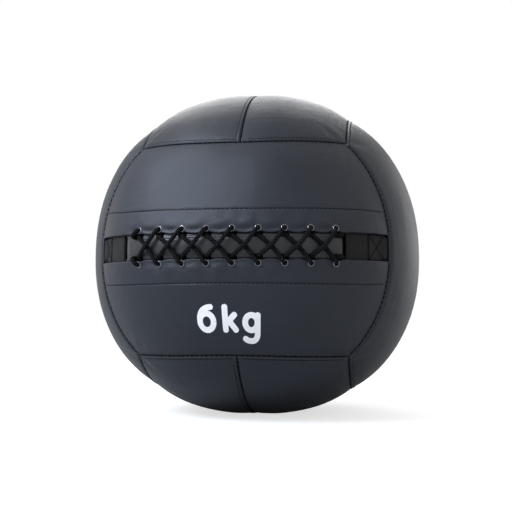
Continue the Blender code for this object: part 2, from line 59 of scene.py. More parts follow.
bottom_mid_shift = 0.002

# Panels
seam_gap = 0.0005
seam_roll = 0.0011
skirt_depths = (0.008, 0.004, 0.0015)
panel_spacing = 0.0024
edge_places = (0.0002, 0.0005, 0.0009, 0.0014, 0.0019, 0.0024, 0.0029, 0.0034, 0.0040, 0.0048, 0.0060,
               0.0078, 0.0100)
lip_place = 0.0022
lip_width = 0.0009
lip_height = 0.0007
stitch_place = 0.0038
stitch_groove = 0.0003
stitch_groove_width = 0.0009

# Creases and folds of the leather
gather_height = 0.00016
mid_gather_height = 0.00026
gather_reach = 0.0080
crease_pitch = 0.0078
wide_crease_pitch = 0.0127
crease_drift_pitch = 0.047
corner_fold_height = 0.00045
corner_fold_pitch = 0.017
corner_fold_width = 0.014
corner_fold_place = 0.026
corner_fold_reach = 0.016

# Settling of the leather
cloth_columns = 76
cloth_rows = 26
cloth_frames = 20
cloth_mass = 0.02
cloth_quality = 6
cloth_stiffness = 6.0
cloth_bending = 1.0
cloth_pressure = 16.0
cloth_slack_share = 0.07
cloth_slack_band = 0.030
settle_cap = 0.0020

# Slit and flaps
slit_half_height = 0.0125
hem_depth = 0.020
hem_line_upper = 0.0346
hem_line_lower = 0.0347
hem_rise = 0.0036
hem_rise_start = 0.52
hem_rise_reach = 0.43
hem_groove = 0.00045
hem_groove_width = 0.0008
hem_row_reach = 0.0030
hem_row_spacing = 0.00045
hem_row_clear_share = 0.004
flap_thickness = 0.0030
flap_return = 0.014
fold_turns = (180, 150, 130, 110)
scallop_in = 0.0005
scallop_out = 0.0009
pucker_place = 0.0090
pucker_width = 0.0040
pucker_height = 0.0007
lower_pucker_share = 0.45
edge_sink = 0.0014
edge_sink_place = 0.0037
edge_sink_width = 0.0028
streak_place = 0.0150
streak_width = 0.0070
streak_height = 0.00016

# Eyelets
eyelets_a_row = 9
eyelet_pitch = 0.0245
lacing_shift = 0.0026
laced_end = 0.6
laced_fade = 0.4
eyelet_edge_distance = 0.0037
eyelet_bore = 0.0048
eyelet_flange = 0.0064
eyelet_flange_thickness = 0.0008
eyelet_foot_share = 0.25
eyelet_wall = 0.0004
eyelet_curl = 0.0009
eyelet_sides = 40
eyelet_dimple = 0.0007

# Laces
lace_diameter = 0.0041
lace_clearance = 0.0005
lace_gap = 0.0003
lace_bend = 0.0028
lace_dive = 0.0033
lace_low_lift = 0.0002
lace_tail = 0.008
lace_tail_shift = 0.0066
lace_tail_lead_share = 0.75
lace_spacing = 0.0007
lace_strands = 8
lace_braid_pitch = 0.0150
lace_strand_width = 0.0010
lace_strand_flatness = 1.5
lace_strand_sides = 6
lace_core_sides = 8
lace_weave_height = 0.00022
corner_cut_share = 0.25

# Tongue
tongue_thickness = 0.0015
tongue_half_height = 0.030
tongue_depth = 0.0102
tongue_edge_depth = 0.0036
tongue_dip_half_width = 0.0042
tongue_dip_slope = 0.0014
tongue_crown_half_height = 0.0125
tongue_crown_depth = 0.0020
tongue_crown_power = 8
tongue_swell = 0.0010
tongue_swell_width = tongue_crown_half_height / 1.6
tongue_end_depth = 0.0046
tongue_end_reach = 0.010
tongue_tab_gap = 0.0045
tongue_columns = 321
tongue_rows = 101
pleat_place = 0.0074
pleat_step = 0.0022
pleat_width = 0.0006
pleat_depth = 0.0005

# Webbing tabs
webbing_thickness = 0.0014
webbing_width = 0.030
webbing_fold = 0.0022
webbing_depth = 0.0045
webbing_seam_margin = 0.0012
webbing_rise = 0.0024
webbing_rise_start = 0.0130
webbing_rise_reach = 0.0090
webbing_rise_half_height = 0.0121
webbing_rise_slope = 0.0030
selvedge_width = 0.0012
selvedge_thin_share = 0.35
tab_length_left = 0.0455
tab_length_right = 0.0523
tab_under_angle = 0.006
tab_end_angle = 0.004
tab_end_drops = (0.0012, 0.005)
tab_columns = 21
tab_box_left = 0.020
tab_box_right = 0.026
tab_box_near = 0.0035
tab_box_margin = 0.003
tab_row_step = 0.0012

# Stitching
stitch_pitch = 0.0036
stitch_length = 0.0029
stitch_thickness = 0.0007
stitch_sides = 6
seam_thread_pitch = 0.0050
seam_thread_length = 0.0045
seam_thread_thickness = 0.0014
seam_thread_depth = 0.0004
tab_stitch_pitch = 0.0026
tab_stitch_length = 0.0022
hem_stitch_pitch = 0.0044
hem_stitch_length = 0.0036
hem_steps = 260
hem_azimuth = 0.93
hem_end_azimuth = 0.95
hem_end_margin = 0.002
row_end_share = 0.02
row_steps = 120
# Rings of one stitch: place as a share of its length, then girth and lift as shares of its thickness
stitch_section_shares = ((-0.5, 0.2, -0.5), (-0.44, 0.8, -0.1), (-0.25, 1.0, 0.3), (0.0, 1.0, 0.4),
                         (0.25, 1.0, 0.3), (0.44, 0.8, -0.1), (0.5, 0.2, -0.5))

# Weight mark
mark_azimuth = -0.016
mark_base = -0.0800
mark_height = 0.0262
mark_x_height = 0.0190
mark_drop = 0.0072
mark_stroke = 0.0054
mark_space = 0.0058
mark_raise = 0.00012
mark_raise_step_share = 0.12
mark_level_divisor = 1.2
mark_spacing = 0.0007
mark_step = 0.0004
mark_columns = 7
six_across = 0.0066
six_up = 0.0075
six_bend_share = 0.86
six_tip = 0.0045
k_arm_height = 0.0075
k_arm_reach = 0.0088
k_leg_place = 0.0036
k_leg_height = 0.0108
k_leg_reach = 0.0098
g_across = 0.0058
g_space_share = 0.6
g_hook_reach = 0.002
g_hook_share = 0.72

# Inside
leather_thickness = 0.0015
foam_thickness = 0.016
inner_clearance = 0.0015
pad_edge = 0.005
pad_margin = 0.0035
pad_mid_margin = 0.002
pad_hem_gap = 0.001
pad_columns = 61
pad_rows = 31
closure_pad_depth = 0.0128
closure_pad_margin = 0.006
closure_pad_thinning = 0.002
dome_columns = 96
dome_rows = 33
sack_depth = 0.0230
sack_thickness = 0.001
sack_gap = 0.0004
sack_ripple = 0.0006
sack_ripples = 22
filling_depth = 0.0255
filling_swell = 0.0025
filling_ripples = 31
weight_radius = 0.046
weight_neck_radius = 0.007
weight_neck_length = 0.022
weight_bag_wall = 0.001
weight_inner_share = 0.978
neck_hollow_angle = 0.24
neck_foot_gap = 0.001
neck_gathers = 14
neck_gather_share = 0.05
neck_gather_reach = 0.018
tie_radius = 0.0007
tie_turns = 5
tie_pitch = 0.0016
tie_sides = 10

# Materials
leather_specular = 0.5
weave_pitch = 0.0011
weave_height = 0.00006
grain_height = 0.00003
dent_height = 0.0006
rib_pitch = 0.0017
warp_pitch = 0.0010
rib_height = 0.00022
noise_low = 0.3
noise_high = 0.7

# Stage and lights
world_glossy = 0.70
world_diffuse = 0.72
floor_size = 12.0
floor_tint = (0.5, 0.5, 0.5, 1.0)
floor_glow = 0.66
light_distance = 1.7

# Camera, matched to the photograph of 512 by 512 pixels
camera_azimuth = 9.1
camera_elevation = -2.95
camera_distance = 1.040
camera_lens = 65.6
camera_sensor = 36.0
image_pixels = 512
ball_pixel_across = 258.86
ball_pixel_down = 254.94

# Sizes that follow from those above
radius = ball_width / 2
half_sizes = np.array((radius, radius, ball_height_free / 2))
centre = np.array((0.0, 0.0, ball_height_free / 2 - foot_sink))
seam_angle = math.asin(1 / math.sqrt(3))
slit_angle = math.asin(slit_half_height / radius)
hem_angle = math.asin((slit_half_height + hem_depth) / radius)
panel_length = radius * 1.6
last_eyelet = (eyelets_a_row - 1) / 2
lace_radius = lace_diameter / 2
lace_slit_place = eyelet_edge_distance + lace_clearance + lace_radius
lace_over = eyelet_flange_thickness + lace_gap + lace_radius


# Form of the ball
def form_radius(direction):
    """Distance from the centre to the unseamed form along unit directions."""
    powers = (np.abs(direction) / half_sizes) ** ball_exponent
    height = direction[..., 2]
    sag = 1 - belly_sag_share * height * (1 - height ** 2)
    return sag * powers.sum(-1) ** (-1 / ball_exponent)


def fall(distance, width):
    """All of a seam's draw at the seam, none at the width."""
    return np.clip(1 - distance / width, 0, None) ** 2


def bump(distance, width):
    """Rounded bump of height 1 about a distance of zero."""
    return np.exp(-(distance / width) ** 2)


class Group:
    """Two panels side by side: outward, lengthwise and crosswise axes, and the seam between them."""

    def __init__(self, outward, lengthwise, crosswise, mid_shift=0.0, mid_draw=mid_seam_draw,
                 mid_crown=mid_seam_crown, flatness=0.0):
        self.outward = np.array(outward, float)
        self.lengthwise = np.array(lengthwise, float)
        self.crosswise = np.array(crosswise, float)
        self.mid_latitude = math.asin(mid_shift / radius)
        self.mid_draw = mid_draw
        self.mid_crown = mid_crown
        self.flatness = flatness

    def direction(self, azimuth, latitude):
        """Unit directions at azimuths and latitudes of the group."""
        azimuth, latitude = np.broadcast_arrays(azimuth, latitude)
        level = np.cos(latitude)[..., None]
        along = np.cos(azimuth)[..., None] * self.outward + np.sin(azimuth)[..., None] * self.lengthwise
        return level * along + np.sin(latitude)[..., None] * self.crosswise

    def end(self, latitude, margin=0.0):
        """Azimuth of the end seam at a latitude, less a margin in metres."""
        return np.arccos(np.clip(math.sin(seam_angle + margin / radius) / np.cos(latitude), -1, 1))

    def distances(self, azimuth, latitude):
        """Distances to the outer long seam, the end seam and the middle seam, in metres."""
        outward = np.clip(np.cos(latitude) * np.cos(azimuth), -1, 1)
        return (radius * (seam_angle - np.abs(latitude)), radius * (np.arcsin(outward) - seam_angle),
                radius * np.abs(latitude - self.mid_latitude))

    def pull(self, azimuth, latitude):
        """How far the seams draw the cover in, less what the layers at the slit lift it."""
        long_seam, end_seam, mid_seam = self.distances(azimuth, latitude)
        free = (1 - fall(long_seam, seam_crown)) * (1 - fall(end_seam, seam_crown))
        share = np.clip((np.abs(latitude) - slit_angle) / (seam_angle - slit_angle), 0, 1)
        flat = self.flatness * np.sin(math.pi * share) ** 2 * (1 - fall(end_seam, seam_crown))
        return seam_draw * (1 - free) + self.mid_draw * fall(mid_seam, self.mid_crown) * free + flat

    def cover(self, azimuth, latitude, depth=0.0):
        """Points of the seamed form, or a depth below it."""
        direction = self.direction(azimuth, latitude)
        level = form_radius(direction) - self.pull(azimuth, latitude) - depth
        return centre + direction * level[..., None]

    def core(self, azimuth, latitude, depth):
        """Points a depth below the unseamed form."""
        direction = self.direction(azimuth, latitude)
        return centre + direction * (form_radius(direction) - depth)[..., None]


front = Group((0, -1, 0), (1, 0, 0), (0, 0, 1), 0.0, -slit_lift, slit_crown, front_flatness)
back = Group((0, 1, 0), (1, 0, 0), (0, 0, 1))
left = Group((-1, 0, 0), (0, 0, 1), (0, 1, 0))
right = Group((1, 0, 0), (0, 0, 1), (0, 1, 0))
top = Group((0, 0, 1), (0, 1, 0), (1, 0, 0), top_mid_shift)
bottom = Group((0, 0, -1), (0, 1, 0), (1, 0, 0), bottom_mid_shift)


def closure_point(azimuth, latitude, depth):
    """Points a depth below the flaps, whose level the slit between them keeps."""
    latitude = np.asarray(latitude, float)
    held = np.where(latitude < 0, -1, 1) * np.maximum(np.abs(latitude), slit_angle)
    direction = front.direction(azimuth, latitude)
    level = form_radius(direction) - front.pull(azimuth, held) - depth
    return centre + direction * level[..., None]


# Mesh helpers
def new_object(name, data):
    """Object of some data, in the scene."""
    thing = bpy.data.objects.new(name, data)
    bpy.context.scene.collection.objects.link(thing)
    return thing


def make_piece(name, points, faces, material, nodes=(), layout=None):
    """Mesh piece that rides on the ball, stands for some CAD nodes and may hold flat coordinates."""
    mesh = bpy.data.meshes.new(name)
    mesh.from_pydata(np.asarray(points).reshape(-1, 3).tolist(), [], np.asarray(faces).tolist())
    if layout is not None:
        loops = np.empty(len(mesh.loops), int)
        mesh.loops.foreach_get("vertex_index", loops)
        flat = mesh.uv_layers.new(name="flat")
        flat.data.foreach_set("uv", np.asarray(layout, float).reshape(-1, 2)[loops].ravel())
    mesh.shade_smooth()
    piece = new_object(name, mesh)
    mesh.materials.append(material)
    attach(piece, "root")
    if nodes:
        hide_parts(*nodes)
    return piece


def grid_faces(columns, rows, closed=False):
    """Quads of a grid of points, first index along the columns, joined round its rows if closed."""
    index = np.arange(columns * rows).reshape(columns, rows)
    if closed:
        index = np.concatenate([index, index[:, :1]], axis=1)
    corners = (index[:-1, :-1], index[1:, :-1], index[1:, 1:], index[:-1, 1:])
    return np.stack(corners, -1).reshape(-1, 4)


def joined(parts):
    """Several (points, faces) pairs as one pair."""
    points, faces, count = [], [], 0
    for part_points, part_faces in parts:
        part_points = np.asarray(part_points).reshape(-1, 3)
        points.append(part_points)
        faces.append(np.asarray(part_faces) + count)
        count += len(part_points)
    return np.concatenate(points), np.concatenate(faces)


def unit(vectors):
    """Vectors at length 1."""
    return vectors / np.maximum(np.linalg.norm(vectors, axis=-1, keepdims=True), 1e-12)


def run_along(line):
    """Distances along a line of points, from its first one."""
    return np.concatenate([[0], np.cumsum(np.linalg.norm(np.diff(line, axis=0), axis=1))])


def at_places(places, run, rows):
    """Rows of values, such as points, at places along their run."""
    return np.stack([np.interp(places, run, column) for column in np.asarray(rows).T], -1)


def resampled(line, spacing):
    """Points at an even spacing along a line of points."""
    run = run_along(line)
    count = max(2, round(run[-1] / spacing) + 1)
    return at_places(np.linspace(0, run[-1], count), run, line)


def rounded(line, passes=3):
    """Line of points with its corners cut, its two ends kept."""
    for _ in range(passes):
        near = line[:-1] * (1 - corner_cut_share) + line[1:] * corner_cut_share
        far = line[:-1] * corner_cut_share + line[1:] * (1 - corner_cut_share)
        line = np.concatenate([line[:1], np.stack([near, far], 1).reshape(-1, 3), line[-1:]])
    return line


def carried_frames(line, start_up):
    """Two cross directions along a line, carried on without twist."""
    tangents = unit(np.gradient(line, axis=0))
    ups = np.empty_like(line)
    up = np.asarray(start_up, float)
    for index, tangent in enumerate(tangents):
        up = unit(up - tangent * (up @ tangent))
        ups[index] = up
    return ups, np.cross(tangents, ups)


def ring_turns(sides):
    """Cosines and sines of the corners of a ring."""
    angles = 2 * math.pi * np.arange(sides) / sides
    return np.cos(angles)[:, None], np.sin(angles)[:, None]


def tube(line, ups, asides, width, height, sides):
    """Open-ended tube of an oval section along a line."""
    cosines, sines = ring_turns(sides)
    ring = cosines * ups[:, None] * height / 2 + sines * asides[:, None] * width / 2
    return (line[:, None] + ring).reshape(-1, 3), grid_faces(len(line), sides, closed=True)


def between_four(taken, share):
    """Smooth value a share of the way from the second to the third of four even samples."""
    cube = -taken[0] + 3 * taken[1] - 3 * taken[2] + taken[3]
    square = 2 * taken[0] - 5 * taken[1] + 4 * taken[2] - taken[3]
    return (((cube * share + square) * share + (taken[2] - taken[0])) * share + 2 * taken[1]) / 2


def cell(places, count):
    """Cell that each place falls in, on a run of so many cells, and the share of it that is passed."""
    low = np.clip(np.floor(places).astype(int), 0, count - 1)
    return low, (places - low)[:, None]


# Materials
class Nodes:
    """Adds and links the nodes of one tree."""

    def __init__(self, tree):
        self.tree = tree

    def add(self, kind, **inputs):
        """New node with its inputs set or linked, by name with spaces as underscores."""
        node = self.tree.nodes.new(kind)
        for name, value in inputs.items():
            self.put(node.inputs[name.replace("_", " ")], value)
        return node

    def put(self, socket, value):
        """Link a socket or set its own value."""
        if isinstance(value, bpy.types.NodeSocket):
            self.tree.links.new(value, socket)
        else:
            socket.default_value = value

    def math(self, operation, first, second=0.0):
        """Result of a Math node."""
        node = self.tree.nodes.new("ShaderNodeMath")
        node.operation = operation
        self.put(node.inputs[0], first)
        self.put(node.inputs[1], second)
        return node.outputs[0]


class Maker(Nodes):
    """Node material round one Principled shader."""

    def __init__(self, name, roughness=0.5, metallic=0.0, specular=0.5):
        self.material = bpy.data.materials.new(name)
        self.material.use_nodes = True
        super().__init__(self.material.node_tree)
        self.shader = self.tree.nodes["Principled BSDF"]
        self.shader.inputs["Roughness"].default_value = roughness
        self.shader.inputs["Metallic"].default_value = metallic
        self.shader.inputs["Specular IOR Level"].default_value = specular
        self.places = self.add("ShaderNodeTexCoord").outputs["Object"]
        self.normal = None

    def noise(self, scale, detail=3.0, roughness=0.5):
        """Noise over the object's own places, in cycles a metre."""
        node = self.add("ShaderNodeTexNoise", Vector=self.places, Scale=scale, Detail=detail,
                        Roughness=roughness)
        return node.outputs["Fac"]

    def flat(self):
        """The two flat coordinates of the piece, in metres."""
        uv = self.add("ShaderNodeUVMap")
        uv.uv_map = "flat"
        apart = self.add("ShaderNodeSeparateXYZ", Vector=uv.outputs["UV"])
        return apart.outputs["X"], apart.outputs["Y"]

    def ranged(self, value, low, high):
        """Noise spread over a range of values."""
        node = self.add("ShaderNodeMapRange", Value=value, From_Min=noise_low, From_Max=noise_high,
                        To_Min=low, To_Max=high)
        return node.outputs["Result"]

    def colour(self, value, stops):
        """Colour ramp over a value, from (place, colour) stops."""
        ramp = self.add("ShaderNodeValToRGB", Fac=value)
        elements = ramp.color_ramp.elements
        while len(elements) < len(stops):
            elements.new(0.5)
        for element, (place, colour) in zip(elements, stops):
            element.position = place
            element.color = (*colour, 1.0)
        return ramp.outputs["Color"]

    def wave(self, place, pitch):
        """Sine wave over a coordinate, at a pitch in metres."""
        return self.math("SINE", self.math("MULTIPLY", place, 2 * math.pi / pitch))

    def raise_by(self, height, distance):
        """Add a height to the bumps, at a distance in metres."""
        bump = self.add("ShaderNodeBump", Height=height, Distance=distance, Strength=1.0)
        if self.normal is not None:
            self.put(bump.inputs["Normal"], self.normal)
        self.normal = bump.outputs["Normal"]
        self.put(self.shader.inputs["Normal"], self.normal)

    def finish(self, base, roughness=None):
        """Give the shader its colour and, if it varies, its roughness."""
        self.put(self.shader.inputs["Base Color"], base)
        if roughness is not None:
            self.put(self.shader.inputs["Roughness"], roughness)
        return self.material


def make_leather(name, dark, pale, low_rough, high_rough, weave):
    """Coated leather cloth: fine woven emboss, pores and a slow drift of shade and gloss."""
    maker = Maker(name, specular=leather_specular)
    drift = maker.noise(14, 3.0)
    fine = maker.noise(260, 4.0, 0.6)
    shade = maker.math("ADD", maker.math("MULTIPLY", drift, 0.75), maker.math("MULTIPLY", fine, 0.25))
    if weave:
        along, across = maker.flat()
        knots = maker.math("MULTIPLY", maker.wave(along, weave_pitch), maker.wave(across, weave_pitch))
        maker.raise_by(knots, weave_height)
    maker.raise_by(maker.noise(1500, 2.0), grain_height)
    maker.raise_by(maker.noise(55, 2.0), dent_height)
    return maker.finish(maker.colour(shade, ((0.35, dark), (0.65, pale))),
                        maker.ranged(drift, low_rough, high_rough))


def make_webbing(name):
    """Woven webbing: ribs across its length, crossed by finer warp yarns, with painted light and shade on
    the weave's cells.
    """
    maker = Maker(name, roughness=0.6, specular=0.35)
    along, across = maker.flat()
    rib = maker.wave(along, rib_pitch)
    warp = maker.wave(across, warp_pitch)
    cells = maker.math("MULTIPLY", rib, warp)
    # The weave's cells also tint the colour: painted highlight on the raised cells, painted shade in the
    # sunk ones.
    shade = maker.math("ADD", maker.math("MULTIPLY", cells, 0.2), maker.noise(900, 2.0))
    maker.raise_by(rib, rib_height)
    maker.raise_by(cells, rib_height / 2)
    maker.raise_by(maker.noise(2600, 2.0), grain_height)
    stops = (0.3, (0.001, 0.001, 0.0012)), (0.8, (0.007, 0.007, 0.008))
    return maker.finish(maker.colour(shade, stops))


def make_yarn(name, dark, pale, roughness, specular=0.3):
    """Yarn with a soft sheen and fine fibres."""
    maker = Maker(name, roughness=roughness, specular=specular)
    shade = maker.noise(700, 3.0)
    maker.raise_by(maker.noise(3800, 2.0), grain_height)
    return maker.finish(maker.colour(shade, ((0.35, dark), (0.7, pale))))


def make_metal(name):
    """Bright plated metal with faint turning marks and dull spots."""
    maker = Maker(name, metallic=1.0)
    dull = maker.noise(420, 3.0)
    maker.raise_by(maker.noise(2400, 2.0), grain_height / 3)
    stops = (0.3, (0.34, 0.34, 0.36)), (0.6, (0.50, 0.50, 0.52))
    return maker.finish(maker.colour(dull, stops), maker.ranged(dull, 0.14, 0.30))


def make_print(name):
    """White screen print, a little worn in uneven patches."""
    maker = Maker(name, roughness=0.55, specular=0.4)
    wear = maker.noise(520, 4.0, 0.7)
    maker.raise_by(maker.noise(1500, 2.0), grain_height / 2)
    return maker.finish(maker.colour(wear, ((0.30, (0.80, 0.80, 0.81)), (0.42, (0.95, 0.95, 0.95)))))


def make_cloth(name, dark, pale, pitch_scale):
    """Loose plain cloth or foam: mottled shade and a soft grain."""
    maker = Maker(name, roughness=0.92, specular=0.2)
    mottled = maker.noise(pitch_scale / 8, 4.0, 0.6)
    cells = maker.add("ShaderNodeTexVoronoi", Vector=maker.places, Scale=pitch_scale)
    maker.raise_by(cells.outputs["Distance"], grain_height * 4)
    return maker.finish(maker.colour(mottled, ((0.35, dark), (0.65, pale))))


def make_sand(name):
    """Loose iron sand: dark grains, some of them bright."""
    maker = Maker(name, roughness=0.55, metallic=0.6)
    cells = maker.add("ShaderNodeTexVoronoi", Vector=maker.places, Scale=1100.0)
    grain = maker.add("ShaderNodeSeparateXYZ", Vector=cells.outputs["Color"]).outputs["X"]
    maker.raise_by(cells.outputs["Distance"], grain_height * 6)
    return maker.finish(maker.colour(grain, ((0.2, (0.03, 0.028, 0.027)), (0.9, (0.22, 0.2, 0.19)))))


cover_leather = make_leather("cover_leather", (0.0050, 0.0075, 0.0146), (0.0080, 0.0116, 0.0216),
                             0.37, 0.46, weave=True)
# The tongue's leather is a paler grey than the cover's: partly its own smooth leather, partly painted light
# that makes up for the shade it lies in between the flaps.
tongue_leather = make_leather("tongue_leather", (0.0180, 0.0180, 0.0195), (0.0260, 0.0260, 0.0275),
                              0.36, 0.46, weave=False)
cut_leather = make_yarn("cut_leather_edge", (0.06, 0.06, 0.065), (0.13, 0.13, 0.14), 0.7)
webbing_weave = make_webbing("webbing_weave")
lace_yarn = make_yarn("lace_yarn", (0.0015, 0.0015, 0.002), (0.007, 0.007, 0.008), 0.70, 0.15)
seam_thread = make_yarn("seam_thread", (0.001, 0.001, 0.0015), (0.004, 0.004, 0.005), 0.7, 0.15)
tab_thread = make_yarn("tab_thread", (0.0008, 0.0008, 0.001), (0.003, 0.003, 0.0035), 0.7, 0.1)
eyelet_metal = make_metal("eyelet_metal")
white_print = make_print("white_print")
pad_foam = make_cloth("pad_foam", (0.012, 0.012, 0.013), (0.028, 0.028, 0.030), 900.0)
white_cotton = make_cloth("white_cotton", (0.58, 0.56, 0.50), (0.76, 0.74, 0.68), 1400.0)
mixed_textile = make_cloth("mixed_textile", (0.10, 0.11, 0.17), (0.55, 0.50, 0.48), 260.0)
loose_sand = make_sand("loose_sand")


# Cover panels
def eyelet_number(azimuth):
    """Place along the rows of eyelets, whole at each eyelet and zero at the middle one."""
    return (azimuth * radius - lacing_shift) / eyelet_pitch


def laced_share(azimuth):
    """1 along the rows of eyelets and 0 beyond their ends."""
    return np.clip((last_eyelet + laced_end - np.abs(eyelet_number(azimuth))) / laced_fade, 0, 1)


def at_eyelets(azimuth):
    """1 at each eyelet, 0 half way between two."""
    return np.cos(math.pi * eyelet_number(azimuth)) ** 2 * laced_share(azimuth)


def hem_height(side, azimuth):
    """Height of a flap's stitched hem line above or below the slit's middle."""
    if side < 0:
        return hem_line_lower * np.ones_like(azimuth)
    return hem_line_upper + hem_rise * np.clip((-azimuth - hem_rise_start) / hem_rise_reach, 0, 1) ** 2


def creases(run, turn):
    """Uneven small creases along a seam, between about -1 and 1."""
    turned = 2 * math.pi * run
    drift = 0.55 + 0.45 * np.sin(turned / crease_drift_pitch + 2.1 * turn)
    fine = 0.7 * np.sin(turned / crease_pitch + turn)
    return drift * (fine + 0.5 * np.sin(turned / wide_crease_pitch + 3 * turn))


def rolled(distance, roll):
    """How far a rolled edge drops below its face at a distance from the edge."""
    inside = np.clip(roll - distance, 0, roll)
    return roll - np.sqrt(roll ** 2 - inside ** 2)


class Panel:
    """One sewn panel of the cover, or one flap beside the slit."""

    def __init__(self, place, group, side, lips=(), slit=False):
        self.place_name = place
        self.group = group
        self.side = side
        self.lips = lips
        self.slit = slit
        self.outer = side * (seam_angle - seam_gap / 2 / radius)
        self.moved = np.zeros((cloth_columns + 1, cloth_rows + 1, 3))

    def inner(self, azimuth):
        """Latitude of the panel's inner edge."""
        if not self.slit:
            return self.group.mid_latitude + self.side * seam_gap / 2 / radius + 0 * azimuth
        scallop = (scallop_in * at_eyelets(azimuth)
                   - scallop_out * (1 - at_eyelets(azimuth)) * laced_share(azimuth))
        return self.side * (slit_angle + scallop / radius)

    def place(self, along, across):
        """Azimuth and latitude at shares of the panel's length and width."""
        along, across = np.broadcast_arrays(np.asarray(along, float), np.asarray(across, float))
        middle = (2 * along - 1) * self.group.end(self.side * slit_angle)
        inner = self.inner(middle)
        latitude = inner + across * (self.outer - inner)
        return (2 * along - 1) * self.group.end(latitude, seam_gap / 2), latitude

    def shares(self, azimuth, latitude):
        """Shares of the panel's length and width at an azimuth and latitude."""
        inner = self.inner(azimuth)
        along = (azimuth / self.group.end(latitude, seam_gap / 2) + 1) / 2
        return along, (latitude - inner) / (self.outer - inner)

    def relief(self, azimuth, latitude, edge_roll=True):
        """Height of the leather over the seamed form: rolled seams, lips, grooves and puckers."""
        distances = self.group.distances(azimuth, latitude)
        places = {edge: distance - seam_gap / 2 for edge, distance in zip(("long", "end", "mid"), distances)}
        height = np.zeros_like(distances[0])
        if self.slit:
            places["mid"] = self.side * radius * (latitude - self.inner(azimuth))
        if edge_roll:
            height -= rolled(np.minimum(places["long"], places["end"]), seam_roll)
            height -= rolled(places["mid"], flap_thickness / 2 if self.slit else seam_roll)
        for edge in self.lips:
            height += lip_height * bump(places[edge] - lip_place, lip_width)
            height -= stitch_groove * bump(places[edge] - stitch_place, stitch_groove_width)
        if self.slit:
            height += self.flap_relief(azimuth, latitude, places["mid"])
        return height + self.gathers(azimuth, latitude, places)

    def gathers(self, azimuth, latitude, places):
        """Small creases that run off the seams, and folds that run out of the panel's corners."""
        turn = self.side + 2.3 * float(self.group.outward @ (1, 2, 3))
        run = radius * azimuth
        rise = radius * latitude
        near = {edge: np.exp(-place / gather_reach) for edge, place in places.items()}
        height = gather_height * creases(run, turn) * near["long"]
        height = height + gather_height * creases(rise, turn + 1) * near["end"]
        if not self.slit:
            height = height + mid_gather_height * creases(run, turn + 2) * near["mid"]
        askew = places["long"] - places["end"]
        outward = places["long"] + places["end"]
        fold = np.cos(2 * math.pi * askew / corner_fold_pitch + turn + azimuth)
        fold = fold * bump(askew, corner_fold_width)
        return height + corner_fold_height * fold * bump(outward - corner_fold_place, corner_fold_reach)

    def flap_relief(self, azimuth, latitude, from_edge):
        """Puckers between the eyelets, dimples at them and the groove of the hem's stitching."""
        number = eyelet_number(azimuth)
        flap_share = 1 if self.side > 0 else lower_pucker_share
        pucker = (1 - at_eyelets(azimuth)) * laced_share(azimuth) * flap_share
        height = pucker_height * pucker * bump(from_edge - pucker_place, pucker_width)
        height = height - edge_sink * pucker * bump(from_edge - edge_sink_place, edge_sink_width)
        aside = (number - np.round(number)) * eyelet_pitch
        away = np.hypot(aside, from_edge - eyelet_edge_distance)
        height = height - eyelet_dimple * bump(away, eyelet_flange) * laced_share(azimuth)
        streak = np.cos(3 * math.pi * number) * bump(from_edge - streak_place, streak_width)
        height = height + streak_height * streak * laced_share(azimuth)
        line = radius * np.sin(np.abs(latitude)) - hem_height(self.side, azimuth)
        return height - hem_groove * bump(line, hem_groove_width)

    def points(self, azimuth, latitude, depth=0.0, edge_roll=True):
        """Finished points of the leather's face, or a depth below it, held up by the floor."""
        azimuth, latitude = np.broadcast_arrays(azimuth, latitude)
        along, across = self.shares(azimuth, latitude)
        points = self.group.cover(azimuth, latitude, -self.relief(azimuth, latitude, edge_roll))
        points = points + self.shift(along, across)
        points[..., 2] = np.maximum(points[..., 2], 0.0)
        return points - self.group.direction(azimuth, latitude) * np.asarray(depth)[..., None]

    def shift(self, along, across):
        """Settled movement at shares of the panel's length and width."""
        column, column_share = cell(np.clip(along, 0, 1).ravel() * cloth_columns, cloth_columns)
        row, row_share = cell(np.clip(across, 0, 1).ravel() * cloth_rows, cloth_rows)
        columns = [np.clip(column + step, 0, cloth_columns) for step in (-1, 0, 1, 2)]
        rows = [np.clip(row + step, 0, cloth_rows) for step in (-1, 0, 1, 2)]
        strips = [between_four([self.moved[each, other] for other in rows], row_share) for each in columns]
        return between_four(strips, column_share).reshape(*np.shape(along), 3)


def facing_out(first, faces):
    """Faces turned, if need be, so that they face away from the ball's centre."""
    corner, ahead, _, aside = first[faces[0]]
    normal = np.cross(ahead - corner, aside - corner)
    return faces[:, ::-1] if normal @ (corner - centre) < 0 else faces


def cloth_sheet(panel, along, across, azimuth, latitude, start):
    """Plain sheet of a panel, with its border held and some slack near its seams."""
    points = start.reshape(-1, 3)
    faces = facing_out(points, grid_faces(cloth_columns + 1, cloth_rows + 1))
    mesh = bpy.data.meshes.new("settling")
    mesh.from_pydata(points.tolist(), [], faces.tolist())
    sheet = new_object("settling", mesh)
    long_seam, end_seam, mid_seam = panel.group.distances(azimuth, latitude)
    if panel.slit:
        mid_seam = mid_seam - slit_half_height
    near = np.minimum(np.minimum(long_seam, end_seam), mid_seam).ravel()
    border = ((along == 0) | (along == 1) | (across == 0) | (across == 1)).ravel()
    sheet.vertex_groups.new(name="held").add(np.flatnonzero(border).tolist(), 1.0, "REPLACE")
    slack = sheet.vertex_groups.new(name="slack")
    for index, distance in enumerate(near):
        slack.add([index], float(np.clip(1 - distance / cloth_slack_band, 0, 1)), "REPLACE")
    return sheet


